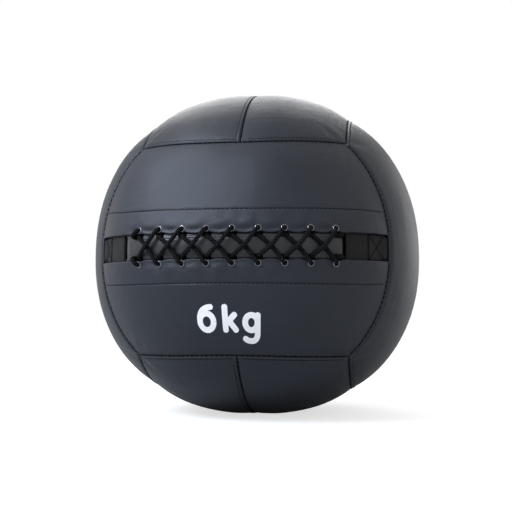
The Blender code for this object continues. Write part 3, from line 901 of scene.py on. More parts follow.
def add_cloth(sheet):
    """Cloth that is held by its border and pushed out from inside, without weight."""
    cloth = sheet.modifiers.new("cloth", "CLOTH")
    settings = cloth.settings
    settings.quality = cloth_quality
    settings.mass = cloth_mass
    settings.tension_stiffness = cloth_stiffness
    settings.compression_stiffness = cloth_stiffness
    settings.shear_stiffness = cloth_stiffness / 2
    settings.bending_stiffness = cloth_bending
    settings.vertex_group_mass = "held"
    settings.use_pressure = True
    settings.uniform_pressure_force = cloth_pressure
    settings.shrink_min = 0.0
    settings.shrink_max = -cloth_slack_share
    settings.vertex_group_shrink = "slack"
    settings.effector_weights.gravity = 0.0
    cloth.collision_settings.use_collision = False
    cloth.point_cache.frame_start = 1
    cloth.point_cache.frame_end = cloth_frames


def settle(panel):
    """Let a panel's leather settle in a cloth simulation, and keep how far it moved."""
    along, across = np.meshgrid(np.linspace(0, 1, cloth_columns + 1), np.linspace(0, 1, cloth_rows + 1),
                                indexing="ij")
    azimuth, latitude = panel.place(along, across)
    start = panel.group.cover(azimuth, latitude)
    sheet = cloth_sheet(panel, along, across, azimuth, latitude, start)
    add_cloth(sheet)
    for number in range(1, cloth_frames + 1):
        bpy.context.scene.frame_set(number)
    shown = sheet.evaluated_get(bpy.context.evaluated_depsgraph_get()).data
    ended = np.empty(start.size)
    shown.vertices.foreach_get("co", ended)
    bpy.data.objects.remove(sheet)
    bpy.context.scene.frame_set(1)
    moved = ended.reshape(start.shape) - start
    length = np.linalg.norm(moved, axis=-1, keepdims=True)
    panel.moved = moved * settle_cap * np.tanh(length / settle_cap) / np.maximum(length, 1e-9)
    print(panel.place_name, "settled by at most", round(float(length.max()) * 1000, 2), "mm")


def edge_shares(length):
    """Shares of a length, close together near its ends."""
    near = np.array((0.0, *edge_places)) / length
    count = round((length - 2 * edge_places[-1]) / panel_spacing)
    between = np.linspace(near[-1], 1 - near[-1], count + 1)[1:-1]
    return np.concatenate([near, between, 1 - near[::-1]])


def with_hem_rows(panel, across):
    """Shares of a flap's width with finer rows about its hem line."""
    heights = hem_height(panel.side, 0.0) + np.arange(-hem_row_reach, 2 * hem_row_reach, hem_row_spacing)
    fine = panel.shares(0.0, panel.side * np.arcsin(heights / radius))[1]
    kept = across[(across < fine[0] - hem_row_clear_share) | (across > fine[-1] + hem_row_clear_share)]
    return np.sort(np.concatenate([kept, fine]))


def build_panel(panel):
    """Finished leather of one panel, its edges turned in at the seams or folded back beside the slit."""
    group = panel.group
    along = edge_shares(panel_length)
    across = edge_shares(radius * (seam_angle - (slit_angle if panel.slit else 0)))
    if panel.slit:
        across = with_hem_rows(panel, across)
    skirt = np.array(skirt_depths)
    none = np.zeros(len(skirt))
    along_depth = np.concatenate([skirt, np.zeros(len(along)), skirt[::-1]])
    along = np.concatenate([none, along, none + 1])
    across_depth = np.concatenate([np.zeros(len(across)), skirt[::-1]])
    across = np.concatenate([across, none + 1])
    if not panel.slit:
        across_depth = np.concatenate([skirt, across_depth])
        across = np.concatenate([none, across])
    azimuth, latitude = panel.place(along[:, None], across[None, :])
    depth = np.maximum(along_depth[:, None], across_depth[None, :])
    points = panel.points(azimuth, latitude, depth)
    if panel.slit:
        points = np.concatenate([folded_rows(panel, along, along_depth), points], axis=1)
    columns, rows = points.shape[:2]
    width = np.concatenate([np.zeros(rows - len(across)), across * radius * seam_angle])
    layout = np.stack(np.broadcast_arrays(along[:, None] * panel_length, width[None]), -1)
    faces = grid_faces(columns, rows)
    if np.linalg.det(np.stack([group.outward, group.lengthwise, group.crosswise])) * panel.side < 0:
        faces = faces[:, ::-1]
    nodes = [f"cover_{panel.place_name}"]
    if panel.slit:
        nodes.append("hem_facing_upper" if panel.side > 0 else "hem_facing_lower")
    piece = make_piece(f"panel_{panel.place_name}", points, faces, cover_leather, nodes,
                       layout=layout)


def folded_rows(panel, along, along_depth):
    """Rows of a flap's edge from the end of its turned hem round to the fold."""
    fold = flap_thickness / 2
    turns = np.radians(fold_turns)
    edge = np.concatenate([[flap_return, flap_return / 3], fold * (1 - np.sin(turns))])
    depth = np.concatenate([[2 * fold, 2 * fold], fold * (1 - np.cos(turns))])
    middle = (2 * along - 1) * front.end(slit_angle)
    latitude = panel.inner(middle)[:, None] + panel.side * edge[None] / radius
    azimuth = (2 * along - 1)[:, None] * front.end(latitude, seam_gap / 2)
    return panel.points(azimuth, latitude, np.maximum(depth[None], along_depth[:, None]), edge_roll=False)


# Stitching
def stitch_row(line, ups, pitch, length, thickness=stitch_thickness):
    """Stitches along a line, each a short thread that dips into the leather at its ends."""
    run = run_along(line)
    count = max(1, int(run[-1] / pitch))
    places = (np.arange(count) + 0.5) * run[-1] / count
    at = at_places(places, run, line)
    up = unit(at_places(places, run, ups))
    tangent = unit(at_places(places + pitch / 4, run, line) - at)
    side = np.cross(tangent, up)
    shares, girth_shares, lift_shares = np.array(stitch_section_shares).T[..., None, None]
    cosines, sines = ring_turns(stitch_sides)
    ring = cosines * up[:, None, None] + sines * side[:, None, None]
    points = (at[:, None, None] + tangent[:, None, None] * shares * length
              + up[:, None, None] * lift_shares * thickness + ring * girth_shares * thickness / 2)
    points[..., 2] = np.maximum(points[..., 2], 0.0)
    faces = grid_faces(len(shares), stitch_sides, closed=True)
    offsets = np.arange(count)[:, None, None] * len(shares) * stitch_sides
    return points.reshape(-1, 3), (faces[None] + offsets).reshape(-1, 4)


def sew(name, rows, thread):
    """One piece out of some rows of stitches."""
    points, faces = joined(rows)
    make_piece(name, points, faces, thread)


def edge_line(panel, edge, distance, margin):
    """Azimuths and latitudes of a line beside a panel's edge, in from the panel's ends by a margin."""
    group, side = panel.group, panel.side
    share = np.linspace(row_end_share, 1 - row_end_share, row_steps)
    first = group.mid_latitude + side * distance / radius
    if edge in ("long", "mid"):
        latitude = np.full(row_steps, first if edge == "mid" else side * (seam_angle - distance / radius))
        return (2 * share - 1) * group.end(latitude, distance), latitude
    last = side * (seam_angle - margin / radius)
    latitude = first + share * (last - first)
    return (1 if edge == "high" else -1) * group.end(latitude, margin), latitude


def build_stitches(panel):
    """Top stitching beside the seams that have a lip."""
    rows = []
    for lip in panel.lips:
        for edge in ("low", "high") if lip == "end" else (lip,):
            azimuth, latitude = edge_line(panel, edge, stitch_place, stitch_place)
            ups = panel.group.direction(azimuth, latitude)
            rows.append(stitch_row(panel.points(azimuth, latitude), ups, stitch_pitch, stitch_length))
    if rows:
        sew(f"top_stitches_{panel.place_name}", rows, seam_thread)


def build_seam_threads(panel):
    """Thick thread that shows in the seams at a panel's ends and between a group's two panels."""
    rows = []
    edges = ("low", "high", "mid") if panel.side > 0 and not panel.slit else ("low", "high")
    for edge in edges:
        azimuth, latitude = edge_line(panel, edge, slit_half_height if panel.slit else 0.0, 0.0)
        ups = panel.group.direction(azimuth, latitude)
        line = panel.points(azimuth, latitude, seam_thread_depth, edge_roll=False)
        rows.append(stitch_row(line, ups, seam_thread_pitch, seam_thread_length, seam_thread_thickness))
    sew(f"seam_threads_{panel.place_name}", rows, seam_thread)


def build_hem_stitches(panel):
    """Line of stitches that holds a flap's turned hem."""
    azimuth = np.linspace(-hem_azimuth, hem_azimuth, hem_steps)
    latitude = panel.side * np.arcsin(hem_height(panel.side, azimuth) / radius)
    azimuth = azimuth * front.end(latitude, hem_end_margin) / hem_end_azimuth
    ups = front.direction(azimuth, latitude)
    row = stitch_row(panel.points(azimuth, latitude), ups, hem_stitch_pitch, hem_stitch_length)
    sew(f"hem_stitches_{panel.place_name}", [row], seam_thread)


# Laced closure
def lacing_azimuth(number):
    """Azimuth of a place along the rows of eyelets, counted in eyelets from the middle one."""
    return (lacing_shift + number * eyelet_pitch) / radius


def eyelet_seat(number, side):
    """Seat of an eyelet on its flap's facet, and its axes along, to the slit and out."""
    azimuths = np.array([lacing_azimuth(number - 0.5), lacing_azimuth(number + 0.5)])
    edge = front.cover(azimuths, side * slit_angle)
    row = front.cover(azimuths, side * hem_angle)
    along = unit(edge[1] - edge[0])
    to_slit = unit(edge.mean(0) - row.mean(0))
    out = unit(np.cross(along, to_slit)) * -side
    return edge.mean(0) - to_slit * eyelet_edge_distance, along, to_slit, out


def eyelet_section():
    """Section of an eyelet as (distance, height): rolled flange, bore and clenched rim."""
    outer, bore = eyelet_flange / 2, eyelet_bore / 2
    roll = (outer - bore) / 2
    crest = [(bore + roll * (1 + math.cos(turn)),
              eyelet_flange_thickness * (eyelet_foot_share + (1 - eyelet_foot_share) * math.sin(turn)))
             for turn in np.linspace(0, math.pi, 9)]
    under = -lace_dive
    return np.array([(outer, 0.0), *crest, (bore, under), (bore + eyelet_wall, under - eyelet_wall),
                     (bore + eyelet_curl, under), (bore + eyelet_wall, under), (bore + eyelet_wall, 0.0)])


def build_eyelets():
    """Bright eyelets in two rows."""
    section = eyelet_section()
    cosines, sines = ring_turns(eyelet_sides)
    faces = grid_faces(eyelet_sides + 1, len(section), closed=True) % (eyelet_sides * len(section))
    for side, flap in ((1, "upper"), (-1, "lower")):
        for number in range(1, eyelets_a_row + 1):
            seat, along, to_slit, out = eyelet_seat(number - 1 - last_eyelet, side)
            spokes = cosines * along * -side + sines * to_slit
            points = seat + section[None, :, :1] * spokes[:, None] + section[None, :, 1:] * out
            make_piece(f"eyelet_ring_{flap}_{number}", points, faces[:, ::-1], eyelet_metal,
                       [f"eyelet_{flap}_{number}"])


def lace_bow(arrival, departure, steps=5):
    """Places round a corner of the lace, out of one direction and into another, at its bend."""
    turns = np.linspace(0, math.pi / 2, steps)[:, None]
    return lace_bend * ((1 - np.sin(turns)) * arrival + (1 - np.cos(turns)) * departure)


def lace_eyelet(seat, axes, arrival, departure):
    """Line through one eyelet: over the flap, down the bore, under the flap and out of the slit."""
    _, to_slit, out = axes
    line = list(seat + out * lace_over + lace_bow(arrival, -out))
    for turn in np.linspace(0, math.pi, 9):
        line.append(seat + to_slit * lace_slit_place / 2 * (1 - math.cos(turn))
                    - out * (lace_dive + lace_slit_place / 2 * math.sin(turn)))
    leave = seat + to_slit * lace_slit_place + out * lace_low_lift
    return line + list(leave + lace_bow(-out, departure))


def lace_end(seat, axes, sideways):
    """Line of an end tucked under the flap, up over the flap's edge."""
    along, to_slit, out = axes
    low = -(lace_dive + lace_radius + lace_gap)
    start = seat + along * sideways - to_slit * lace_tail + out * low
    rise = seat + along * sideways + to_slit * lace_slit_place
    lead = (seat + along * sideways * lace_tail_lead_share + to_slit * (lace_slit_place - lace_bend / 4)
            + out * lace_over)
    return [start, *(rise + out * low + lace_bow(-to_slit, out)), rise, lead]


def lace_line(first_side):
    """Centre line of one lace, zigzag from the left pair of eyelets to the right pair."""
    line = []
    for index in range(eyelets_a_row):
        side = first_side * (-1) ** index
        number = index - last_eyelet
        seat, *axes = eyelet_seat(number, side)
        _, to_slit, out = axes
        crossings = []
        for step, rising in ((-0.5, side > 0), (0.5, side < 0)):
            lift = lace_low_lift + (lace_diameter + lace_gap if rising else 0)
            crossings.append(closure_point(lacing_azimuth(number + step), 0.0, -lift))
        before, after = crossings
        ending = [after]
        if index == 0:
            line += lace_end(seat, axes, -lace_tail_shift)
            before = line[-1]
        if index == eyelets_a_row - 1:
            ending = lace_end(seat, axes, lace_tail_shift)[-2::-1]
            after = ending[0]
        arrival = before - seat
        arrival = unit(arrival - out * (arrival @ out))
        departure = after - seat - to_slit * lace_slit_place
        departure = unit(departure - out * (departure @ out))
        line += lace_eyelet(seat, axes, arrival, departure) + ending
    return resampled(rounded(np.array(line)), lace_spacing)


def build_lace(name, first_side):
    """Round braided lace: a core and two families of strands that pass over and under each other."""
    line = lace_line(first_side)
    run = np.arange(len(line)) * lace_spacing
    turned = 2 * math.pi * run / lace_braid_pitch
    ups, sides = carried_frames(line, (0, -1, 0))
    core = lace_diameter - 2 * lace_strand_width
    parts = [tube(line, ups, sides, core, core, lace_core_sides)]
    for strand in range(lace_strands):
        way = 1 if strand % 2 else -1
        angle = way * turned + 2 * math.pi * (strand // 2) / (lace_strands / 2)
        weave = np.cos(lace_strands / 2 * turned + math.pi * (strand % 2))
        out = np.cos(angle)[:, None] * ups + np.sin(angle)[:, None] * sides
        path = line + out * (lace_radius - lace_strand_width / 2 + lace_weave_height * weave[:, None])
        aside = np.cross(unit(np.gradient(path, axis=0)), out)
        parts.append(tube(path, out, aside, lace_strand_width * lace_strand_flatness, lace_strand_width,
                          lace_strand_sides))
    points, faces = joined(parts)
    make_piece(f"braided_{name}", points, faces, lace_yarn, [name])
    print(name, "is", round(float(run[-1]) * 1000), "mm long")


def plate(name, outer, inner, material, nodes, layout=None):
    """Closed sheet between two grids of points, joined round its border."""
    columns, rows = outer.shape[:2]
    faces = grid_faces(columns, rows)
    count = columns * rows
    index = np.arange(count).reshape(columns, rows)
    border = np.concatenate([index[:, 0], index[-1, 1:], index[-2::-1, -1], index[0, -2:0:-1]])
    following = np.roll(border, -1)
    rim = np.stack([border, border + count, following + count, following], -1)
    points = np.concatenate([outer.reshape(-1, 3), inner.reshape(-1, 3)])
    flat = None if layout is None else np.concatenate([layout.reshape(-1, 2)] * 2)
    faces = np.concatenate([faces[:, ::-1], faces + count, rim])
    return make_piece(name, points, faces, material, nodes, layout=flat)


def tab_seam():
    """Azimuth of the side seams at the slit, less the clearance of the closure's parts."""
    return float(front.end(np.array(0.0), seam_roll + webbing_thickness))


def tab_rise(azimuth, across):
    """How far a tab's middle rises between the flaps on its way to the seam."""
    from_seam = radius * (front.end(np.array(0.0)) - azimuth)
    near = np.clip((webbing_rise_start - from_seam) / webbing_rise_reach, 0, 1)
    inside = np.clip((webbing_rise_half_height - np.abs(across)) / webbing_rise_slope, 0, 1)
    return webbing_rise * near ** 2 * (3 - 2 * near) * inside ** 2 * (3 - 2 * inside)


def tongue_level(azimuth, across):
    """Depth of the tongue: flush in the slit, low at its edges and lowest where a lace goes under a flap."""
    reach = np.abs(across)
    crowned = np.clip(1 - (reach / tongue_crown_half_height) ** tongue_crown_power, 0, None)
    seam = tab_seam()
    from_end = radius * np.minimum(seam + azimuth, seam - azimuth)
    from_end = from_end - np.where(azimuth < 0, tab_length_left, tab_length_right) - tongue_tab_gap
    ending = np.clip(1 - from_end / tongue_end_reach, 0, 1) ** 2
    crown = tongue_crown_depth + (tongue_end_depth - tongue_crown_depth) * ending
    flush = tongue_edge_depth + (crown - tongue_edge_depth) * crowned
    number = np.abs(eyelet_number(azimuth))
    beyond = (number - last_eyelet) * eyelet_pitch
    aside = np.abs(number - np.round(number)) * eyelet_pitch
    aside = np.where(beyond > 0, np.maximum(beyond - lace_tail_shift, 0), aside)
    inner = slit_half_height - lace_clearance - lace_diameter
    dip = np.clip((tongue_dip_half_width - aside) / tongue_dip_slope, 0, 1)
    dip = dip * np.clip((reach - inner) / tongue_dip_slope, 0, 1)
    swell = tongue_swell * at_eyelets(azimuth) * bump(across, tongue_swell_width)
    return flush + (tongue_depth - flush) * dip - swell


def build_tongue():
    """Leather tongue behind the lacing, swelling between the laces, its ends cut bare."""
    seam = tab_seam()
    low = -(seam - (tab_length_left + tongue_tab_gap) / radius)
    high = seam - (tab_length_right + tongue_tab_gap) / radius
    azimuth, across = np.meshgrid(np.linspace(low, high, tongue_columns),
                                  tongue_half_height * np.linspace(-1, 1, tongue_rows), indexing="ij")
    depth = tongue_level(azimuth, across)
    from_pleat = np.abs(across) - pleat_place
    pleats = bump(from_pleat, pleat_width) + bump(from_pleat - pleat_step, pleat_width)
    depth = depth + pleat_depth * pleats * (1 - at_eyelets(azimuth))
    outer = closure_point(azimuth, across / radius, depth)
    inner = closure_point(azimuth, across / radius, depth + tongue_thickness)
    layout = np.stack([azimuth * radius, across], -1)
    piece = plate("laced_tongue", outer, inner, tongue_leather, ["closure_tongue"], layout)
    piece.data.materials.append(cut_leather)
    rim = 2 * (len(outer) - 1) * (outer.shape[1] - 1)
    for face in list(piece.data.polygons)[rim:]:
        face.material_index = 1


def tab_line(length):
    """Middle line of a folded tab as azimuth and depth, from under the fold round to the seam."""
    seam = tab_seam()
    last = float(front.end(np.array(0.0), webbing_seam_margin))
    fold = webbing_fold / 2
    bend = seam - (length - fold) / radius
    turns = np.linspace(0, math.pi, 11)
    under = np.linspace(seam - tab_under_angle, bend, 12)[:-1]
    over = np.linspace(bend, last - tab_end_angle, 28)[1:]
    return np.array([*((azimuth, webbing_depth + webbing_fold) for azimuth in under),
                     *((bend - fold * math.sin(turn) / radius, webbing_depth + fold * (1 + math.cos(turn)))
                       for turn in turns),
                     *((azimuth, webbing_depth) for azimuth in over),
                     *((last, webbing_depth + drop) for drop in tab_end_drops)])


def tab_slant(latitude):
    """How much further out in azimuth the side seams lie at a latitude than at the slit's middle."""
    return front.end(latitude) - front.end(np.array(0.0))


def build_tab(name, side, length, box):
    """Folded webbing tab with a box and cross of stitches by the seam."""
    line = tab_line(length)
    across = webbing_width * np.linspace(-0.5, 0.5, tab_columns)[None]
    latitude = np.broadcast_to(across / radius, (len(line), tab_columns))
    azimuth = side * (line[:, :1] + tab_slant(latitude))
    upper = np.arange(len(line))[:, None] > np.argmin(line[:, 0])
    middle = closure_point(azimuth, latitude, line[:, 1:] - tab_rise(line[:, :1], across) * upper)
    forward = unit(np.gradient(middle, axis=0))
    crosswise = unit(np.gradient(middle, axis=1))
    out = unit(np.cross(crosswise, forward)) * side
    edge = bump(np.abs(across) - webbing_width / 2, selvedge_width)[..., None]
    half = out * webbing_thickness / 2 * (1 - selvedge_thin_share * edge)
    layout = np.stack(np.broadcast_arrays(run_along(line * (radius, 1))[:, None], across), -1)
    plate(f"woven_{name}", middle - half, middle + half, webbing_weave, [name], layout)
    sew(f"box_stitches_{name}", tab_stitches(side, box), tab_thread)


def tab_stitches(side, box):
    """Rows of a tab's box, its cross and a second row at its far side."""
    near, far = tab_seam() - tab_box_near / radius, tab_seam() - box / radius
    second = far - tab_row_step / radius
    high = webbing_width / 2 - tab_box_margin
    corners = [((near, high), (far, high)), ((far, high), (far, -high)), ((far, -high), (near, -high)),
               ((near, high), (far, -high)), ((far, high), (near, -high)), ((second, high), (second, -high))]
    rows = []
    share = np.linspace(0, 1, 12)[:, None]
    for start, stop in corners:
        azimuth, height = (start + share * np.subtract(stop, start)).T
        turned = side * (azimuth + tab_slant(height / radius))
        level = webbing_depth - webbing_thickness / 2 - tab_rise(azimuth, height)
        points = closure_point(turned, height / radius, level)
        ups = front.direction(turned, height / radius)
        rows.append(stitch_row(points, ups, tab_stitch_pitch, tab_stitch_length))
    return rows


# Weight mark
def curve_through(first, control, last, steps=18):
    """Points of a bent stroke between two ends, drawn towards a control point."""
    share = np.linspace(0, 1, steps)[:, None]
    first, control, last = map(np.array, (first, control, last))
    return (1 - share) ** 2 * first + 2 * share * (1 - share) * control + share ** 2 * last


def ring_of(middle, across, up, steps=40):
    """Closed oval stroke."""
    turns = np.linspace(0, 2 * math.pi, steps + 1)
    return np.stack([middle[0] + across * np.cos(turns), middle[1] + up * np.sin(turns)], -1)


def mark_strokes():
    """Strokes of the plain mark 6 kg, in metres from its lower left corner."""
    half = mark_stroke / 2
    low, x_top, top_end = half, mark_x_height - half, mark_height - half
    six_middle = (half + six_across, half + six_up)
    six = [ring_of(six_middle, six_across, six_up),
           curve_through((half, six_middle[1]), (half, mark_height * six_bend_share),
                         (six_middle[0] + six_tip, top_end))]
    k_left = 2 * (half + six_across) + mark_space + half
    k = [np.array([(k_left, low), (k_left, top_end)]),
         np.array([(k_left, k_arm_height), (k_left + k_arm_reach, x_top)]),
         np.array([(k_left + k_leg_place, k_leg_height), (k_left + k_leg_reach, low)])]
    g_left = k_left + k_leg_reach + half + mark_space * g_space_share
    g_up = (mark_x_height - mark_stroke) / 2
    g_middle = g_left + half + g_across
    g_right = g_middle + g_across
    hook = (g_left + half, -mark_drop * g_hook_share)
    g = [ring_of((g_middle, half + g_up), g_across, g_up),
         np.array([(g_right, x_top), (g_right, 0.0)]),
         curve_through((g_right, 0.0), (g_right, -mark_drop), (g_middle, -mark_drop)),
         curve_through((g_middle, -mark_drop), (hook[0] + g_hook_reach, -mark_drop), hook)]
    return [*six, *k, *g], g_right + half


def stroke_ribbon(stroke):
    """Flat band of one width along a stroke, round at its free ends, as a grid of flat places."""
    half = mark_stroke / 2
    run = run_along(stroke)
    ends = 0.0 if np.allclose(stroke[0], stroke[-1]) else half
    places = np.linspace(-ends, run[-1] + ends, max(8, round((run[-1] + 2 * ends) / mark_spacing)))
    inside = np.clip(places, 0, run[-1])
    behind, beyond = (at_places(np.clip(inside + step, 0, run[-1]), run, stroke)
                      for step in (-mark_step, mark_step))
    ahead = unit(beyond - behind)
    middle = at_places(inside, run, stroke) + ahead * (places - inside)[:, None]
    side = np.stack([-ahead[:, 1], ahead[:, 0]], -1)
    girth = np.sqrt(np.clip(half ** 2 - (places - inside) ** 2, 0, None))
    return middle[:, None] + side[:, None] * (girth[:, None] * np.linspace(-1, 1, mark_columns))[..., None]


def build_mark(panel):
    """White printed mark on the lower flap's panel, laid along its face."""
    strokes, width = mark_strokes()
    level_radius = radius * math.cos(math.asin(mark_base / radius) / mark_level_divisor)
    parts = []
    for order, stroke in enumerate(strokes):
        flat = stroke_ribbon(stroke)
        latitude = np.arcsin((mark_base + flat[..., 1]) / radius)
        azimuth = mark_azimuth + (flat[..., 0] - width / 2) / level_radius
        points = panel.points(azimuth, latitude, -mark_raise * (1 + mark_raise_step_share * order))
        parts.append((points, grid_faces(*flat.shape[:2])))
    points, faces = joined(parts)
    make_piece("weight_mark", points, faces, white_print)


# Inside
def build_pad(place, group, low, high, margin, slit=False):
    """Foam pad behind a panel, its edges thinned and rounded."""
    latitude = np.linspace(low, high, pad_rows)[None]
    azimuth = np.linspace(-1, 1, pad_columns)[:, None] * group.end(latitude, margin)
    latitude = np.broadcast_to(latitude, azimuth.shape)
    end_seam = group.distances(azimuth, latitude)[1] - margin
    aside = radius * np.minimum(np.abs(latitude - low), np.abs(high - latitude))
    near = np.clip(np.minimum(aside, end_seam) / pad_edge, 0, 1)
    share = np.sqrt(np.clip(1 - (1 - near) ** 2, 0, 1))
    top_depth = leather_thickness + inner_clearance
    low_depth = leather_thickness + foam_thickness
    if slit:
        outer = closure_point(azimuth, latitude, closure_pad_depth + (1 - share) * closure_pad_thinning)
        inner = group.core(azimuth, latitude, low_depth - (1 - share) * closure_pad_thinning)
    else:
        middle = (top_depth + low_depth) / 2
        outer = group.cover(azimuth, latitude, middle + (top_depth - middle) * share)
        inner = group.cover(azimuth, latitude, middle)
        inner = inner + (group.core(azimuth, latitude, low_depth) - inner) * share[..., None]
    for face in (outer, inner):
        face[..., 2] = np.maximum(face[..., 2], top_depth)
    piece = plate(f"foam_{place}", outer, inner, pad_foam, [place])


def dome(side):
    """Unit directions over the front or back half of the ball, from its pole out to its rim."""
    turn = np.linspace(0, math.pi / 2, dome_rows)[:, None]
    around = np.linspace(0, 2 * math.pi, dome_columns + 1)[None]
    flat = np.sin(turn)
    parts = np.broadcast_arrays(flat * np.cos(around), side * np.cos(turn), flat * np.sin(around))
    return np.stack(parts, -1)


def ripple(direction, height, count):
    """Soft uneven swelling over directions."""
    x, y, z = np.moveaxis(direction, -1, 0)
    waves = np.sin(count * x + 1.3) * np.sin(count * z + 0.4) + np.sin(count * 1.7 * y + 2.1 * x)
    return height * waves / 2


def build_halves(name, part, levels, gap, material):
    """Front and back half of a shell between two distances from the centre, drawn apart by a gap."""
    for side, half in ((-1, "front"), (1, "back")):
        direction = dome(side)
        apart = np.array((0.0, side * gap, 0.0))
        outer, inner = (centre + direction * level[..., None] + apart for level in levels(direction))
        piece = plate(f"{name}_{part}_{half}", outer, inner, material, [f"{part}_{half}"])


def sack_levels(direction):
    """Outer and inner face of the inner sack, slightly gathered."""
    level = form_radius(direction) - sack_depth + ripple(direction, -sack_ripple, sack_ripples)
    return level, level - sack_thickness


def hollow_radius(direction):
    """Radius of the hollow that the weight bag and its neck lie in."""
    upright = np.clip(direction[..., 2], -1, 1)
    neck = weight_neck_length + inner_clearance
    return weight_radius + inner_clearance + neck * bump(np.arccos(upright), neck_hollow_angle)


def filling_levels(direction):
    """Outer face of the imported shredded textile, and the hollow for the weight bag."""
    level = form_radius(direction) - filling_depth - filling_swell
    return level + ripple(direction, filling_swell / 2, filling_ripples), hollow_radius(direction)


def build_weight():
    """Cotton bag of the weight, with its gathered neck."""
    around = np.linspace(0, 2 * math.pi, 97)[None]
    start = math.asin(weight_neck_radius / weight_radius)
    turns = np.linspace(start, math.pi, 41)
    body = np.stack([weight_radius * np.sin(turns), weight_radius * np.cos(turns)], -1)
    neck_heights = np.linspace(weight_radius + weight_neck_length, body[0, 1] + neck_foot_gap, 9)
    section = np.concatenate([[(weight_neck_radius, height) for height in neck_heights], body])
    gather = neck_gather_share * bump(section[:, 1] - body[0, 1], neck_gather_reach)[:, None]
    spread = section[:, :1] * (1 - gather * (1 + np.cos(neck_gathers * around)) / 2)
    spokes = np.stack([np.cos(around), np.sin(around), 0 * around], -1)
    rise = section[:, None, 1:] * np.array((0.0, 0.0, 1.0))
    outer = centre + spread[..., None] * spokes + rise
    thin = np.clip(spread - weight_bag_wall, 0, None)
    inner = centre + thin[..., None] * spokes + rise * weight_inner_share
    piece = plate("tied_weight_bag", outer, inner, white_cotton, ["weight_bag"])


def build_tie():
    """Cord wound round the neck of the weight bag."""
    turn = np.linspace(0, 2 * math.pi * tie_turns, 48 * tie_turns)
    wound = turn / (2 * math.pi * tie_turns) - 0.5
    height = weight_radius + weight_neck_length / 2 + wound * tie_pitch * tie_turns
    reach = weight_neck_radius + tie_radius
    line = centre + np.stack([reach * np.cos(turn), reach * np.sin(turn), height], -1)
    points, faces = tube(line, *carried_frames(line, (0, 0, 1)), 2 * tie_radius, 2 * tie_radius, tie_sides)
    make_piece("wound_tie", points, faces, lace_yarn, ["weight_bag_tie"])


# Assembly
side_lips = ("long", "end", "mid")
panels = [
    Panel("front_upper", front, 1, slit=True), Panel("front_lower", front, -1, slit=True),
    Panel("back_upper", back, 1, ("mid",)), Panel("back_lower", back, -1),
    Panel("left_front", left, -1, ("long", "end")), Panel("left_back", left, 1, side_lips),
    Panel("right_front", right, -1, ("long", "end")), Panel("right_back", right, 1, side_lips),
    Panel("top_left", top, -1, ("end", "mid")), Panel("top_right", top, 1, ("end",)),
    Panel("bottom_left", bottom, -1, ("end", "mid")), Panel("bottom_right", bottom, 1, ("end",)),
]
for panel in panels:
    settle(panel)
    build_panel(panel)
    build_stitches(panel)
    build_seam_threads(panel)
    if panel.slit:
        build_hem_stitches(panel)
    if panel.slit:
        middle_edge = panel.side * math.asin((slit_half_height + hem_depth + pad_hem_gap) / radius)
    else:
        middle_edge = panel.group.mid_latitude + panel.side * pad_mid_margin / radius
    outer_edge = panel.side * (seam_angle - pad_margin / radius)
    build_pad(f"pad_{panel.place_name}", panel.group, middle_edge, outer_edge, pad_margin)
build_pad("pad_closure", front, -hem_angle, hem_angle, closure_pad_margin, slit=True)
build_eyelets()
build_lace("lace_from_upper_left", 1)
build_lace("lace_from_lower_left", -1)
build_tongue()
build_tab("webbing_tab_left", -1, tab_length_left, tab_box_left)
build_tab("webbing_tab_right", 1, tab_length_right, tab_box_right)
build_mark(panels[1])
build_halves("cotton", "sack", sack_levels, sack_gap, white_cotton)
build_halves("shredded", "filling", filling_levels, inner_clearance / 2, mixed_textile)
build_weight()
build_tie()
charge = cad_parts["iron_sand_charge"]
charge.data.materials.clear()
charge.data.materials.append(loose_sand)


# Stage, light and camera
def light_world():
    """White surroundings, full to the camera and a little dimmer as light on the ball."""
    world = bpy.data.worlds.new("studio")
    bpy.context.scene.world = world
    world.use_nodes = True
    nodes = Nodes(world.node_tree)
    path = nodes.add("ShaderNodeLightPath").outputs
    seen = nodes.math("MAXIMUM", path["Is Camera Ray"], path["Is Transmission Ray"])
    sheen = nodes.math("MULTIPLY", path["Is Glossy Ray"], world_glossy)
    spread = nodes.math("MULTIPLY", path["Is Diffuse Ray"], world_diffuse)
    background = world.node_tree.nodes["Background"].inputs
    background["Color"].default_value = (1.0, 1.0, 1.0, 1.0)
    nodes.put(background["Strength"], nodes.math("MAXIMUM", seen, nodes.math("MAXIMUM", sheen, spread)))


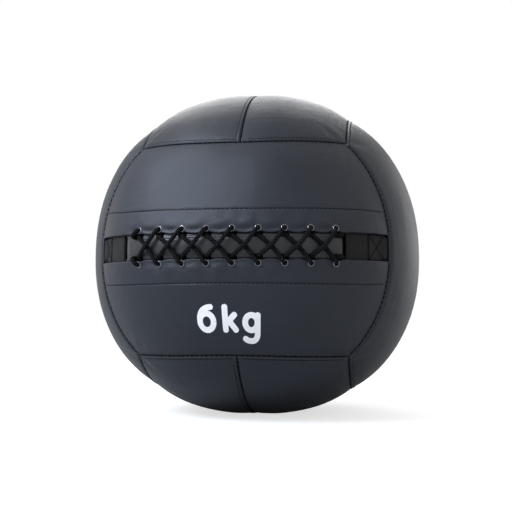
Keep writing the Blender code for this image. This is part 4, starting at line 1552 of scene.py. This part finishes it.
def build_floor():
    """Plain pale floor that keeps the ball's shadow."""
    mesh = bpy.data.meshes.new("floor")
    half = floor_size / 2
    corners = [(-half, -half, 0), (half, -half, 0), (half, half, 0), (-half, half, 0)]
    mesh.from_pydata(corners, [], [(0, 1, 2, 3)])
    floor = new_object("floor", mesh)
    maker = Maker("floor_white", roughness=0.9, specular=0.1)
    path = maker.add("ShaderNodeLightPath").outputs
    glow = maker.math("MULTIPLY", path["Is Camera Ray"], floor_glow)
    maker.put(maker.shader.inputs["Emission Color"], (1.0, 1.0, 1.0, 1.0))
    maker.put(maker.shader.inputs["Emission Strength"], glow)
    mesh.materials.append(maker.finish(floor_tint))


def towards(azimuth, elevation):
    """Unit vector from the ball at an azimuth and elevation in degrees."""
    azimuth, elevation = math.radians(azimuth), math.radians(elevation)
    return Vector((math.sin(azimuth) * math.cos(elevation), -math.cos(azimuth) * math.cos(elevation),
                   math.sin(elevation)))


def add_light(name, azimuth, elevation, size, level, colour=(1.0, 1.0, 1.0)):
    """Soft square lamp that faces the ball from an azimuth and elevation in degrees."""
    data = bpy.data.lights.new(name, "AREA")
    data.shape = "SQUARE"
    data.size = size
    data.energy = level * math.pi * size ** 2
    data.color = colour
    lamp = new_object(name, data)
    way = towards(azimuth, elevation)
    lamp.location = Vector(centre) + way * light_distance
    lamp.rotation_mode = "QUATERNION"
    lamp.rotation_quaternion = way.to_track_quat("Z", "Y")


def place_camera():
    """Camera at the photograph's angle, aimed so that the ball's centre falls on its pixel."""
    data = bpy.data.cameras.new("camera")
    data.lens = camera_lens
    data.sensor_width = camera_sensor
    camera = new_object("camera", data)
    back_axis = towards(camera_azimuth, camera_elevation)
    camera.location = Vector(centre) + back_axis * camera_distance
    focal_pixels = camera_lens / data.sensor_width * image_pixels
    right_axis = Vector((0, 0, 1)).cross(back_axis).normalized()
    up_axis = back_axis.cross(right_axis)
    aside = (ball_pixel_across - image_pixels / 2) / focal_pixels * camera_distance
    above = (image_pixels / 2 - ball_pixel_down) / focal_pixels * camera_distance
    target = Vector(centre) - right_axis * aside - up_axis * above
    camera.rotation_mode = "QUATERNION"
    camera.rotation_quaternion = (target - camera.location).to_track_quat("-Z", "Y")
    bpy.context.scene.camera = camera


light_world()
build_floor()
add_light("key_light", -46, 36, 0.6, 25.0, (0.72, 0.83, 1.0))
add_light("top_light", -95, 62, 0.8, 1.1)
add_light("left_light", -110, 8, 0.8, 0.65)
add_light("back_light", -170, 36, 1.1, 3.2)
add_light("right_rim_light", 145, 8, 0.8, 0.9)
place_camera()
bpy.context.scene.view_settings.view_transform = "Standard"
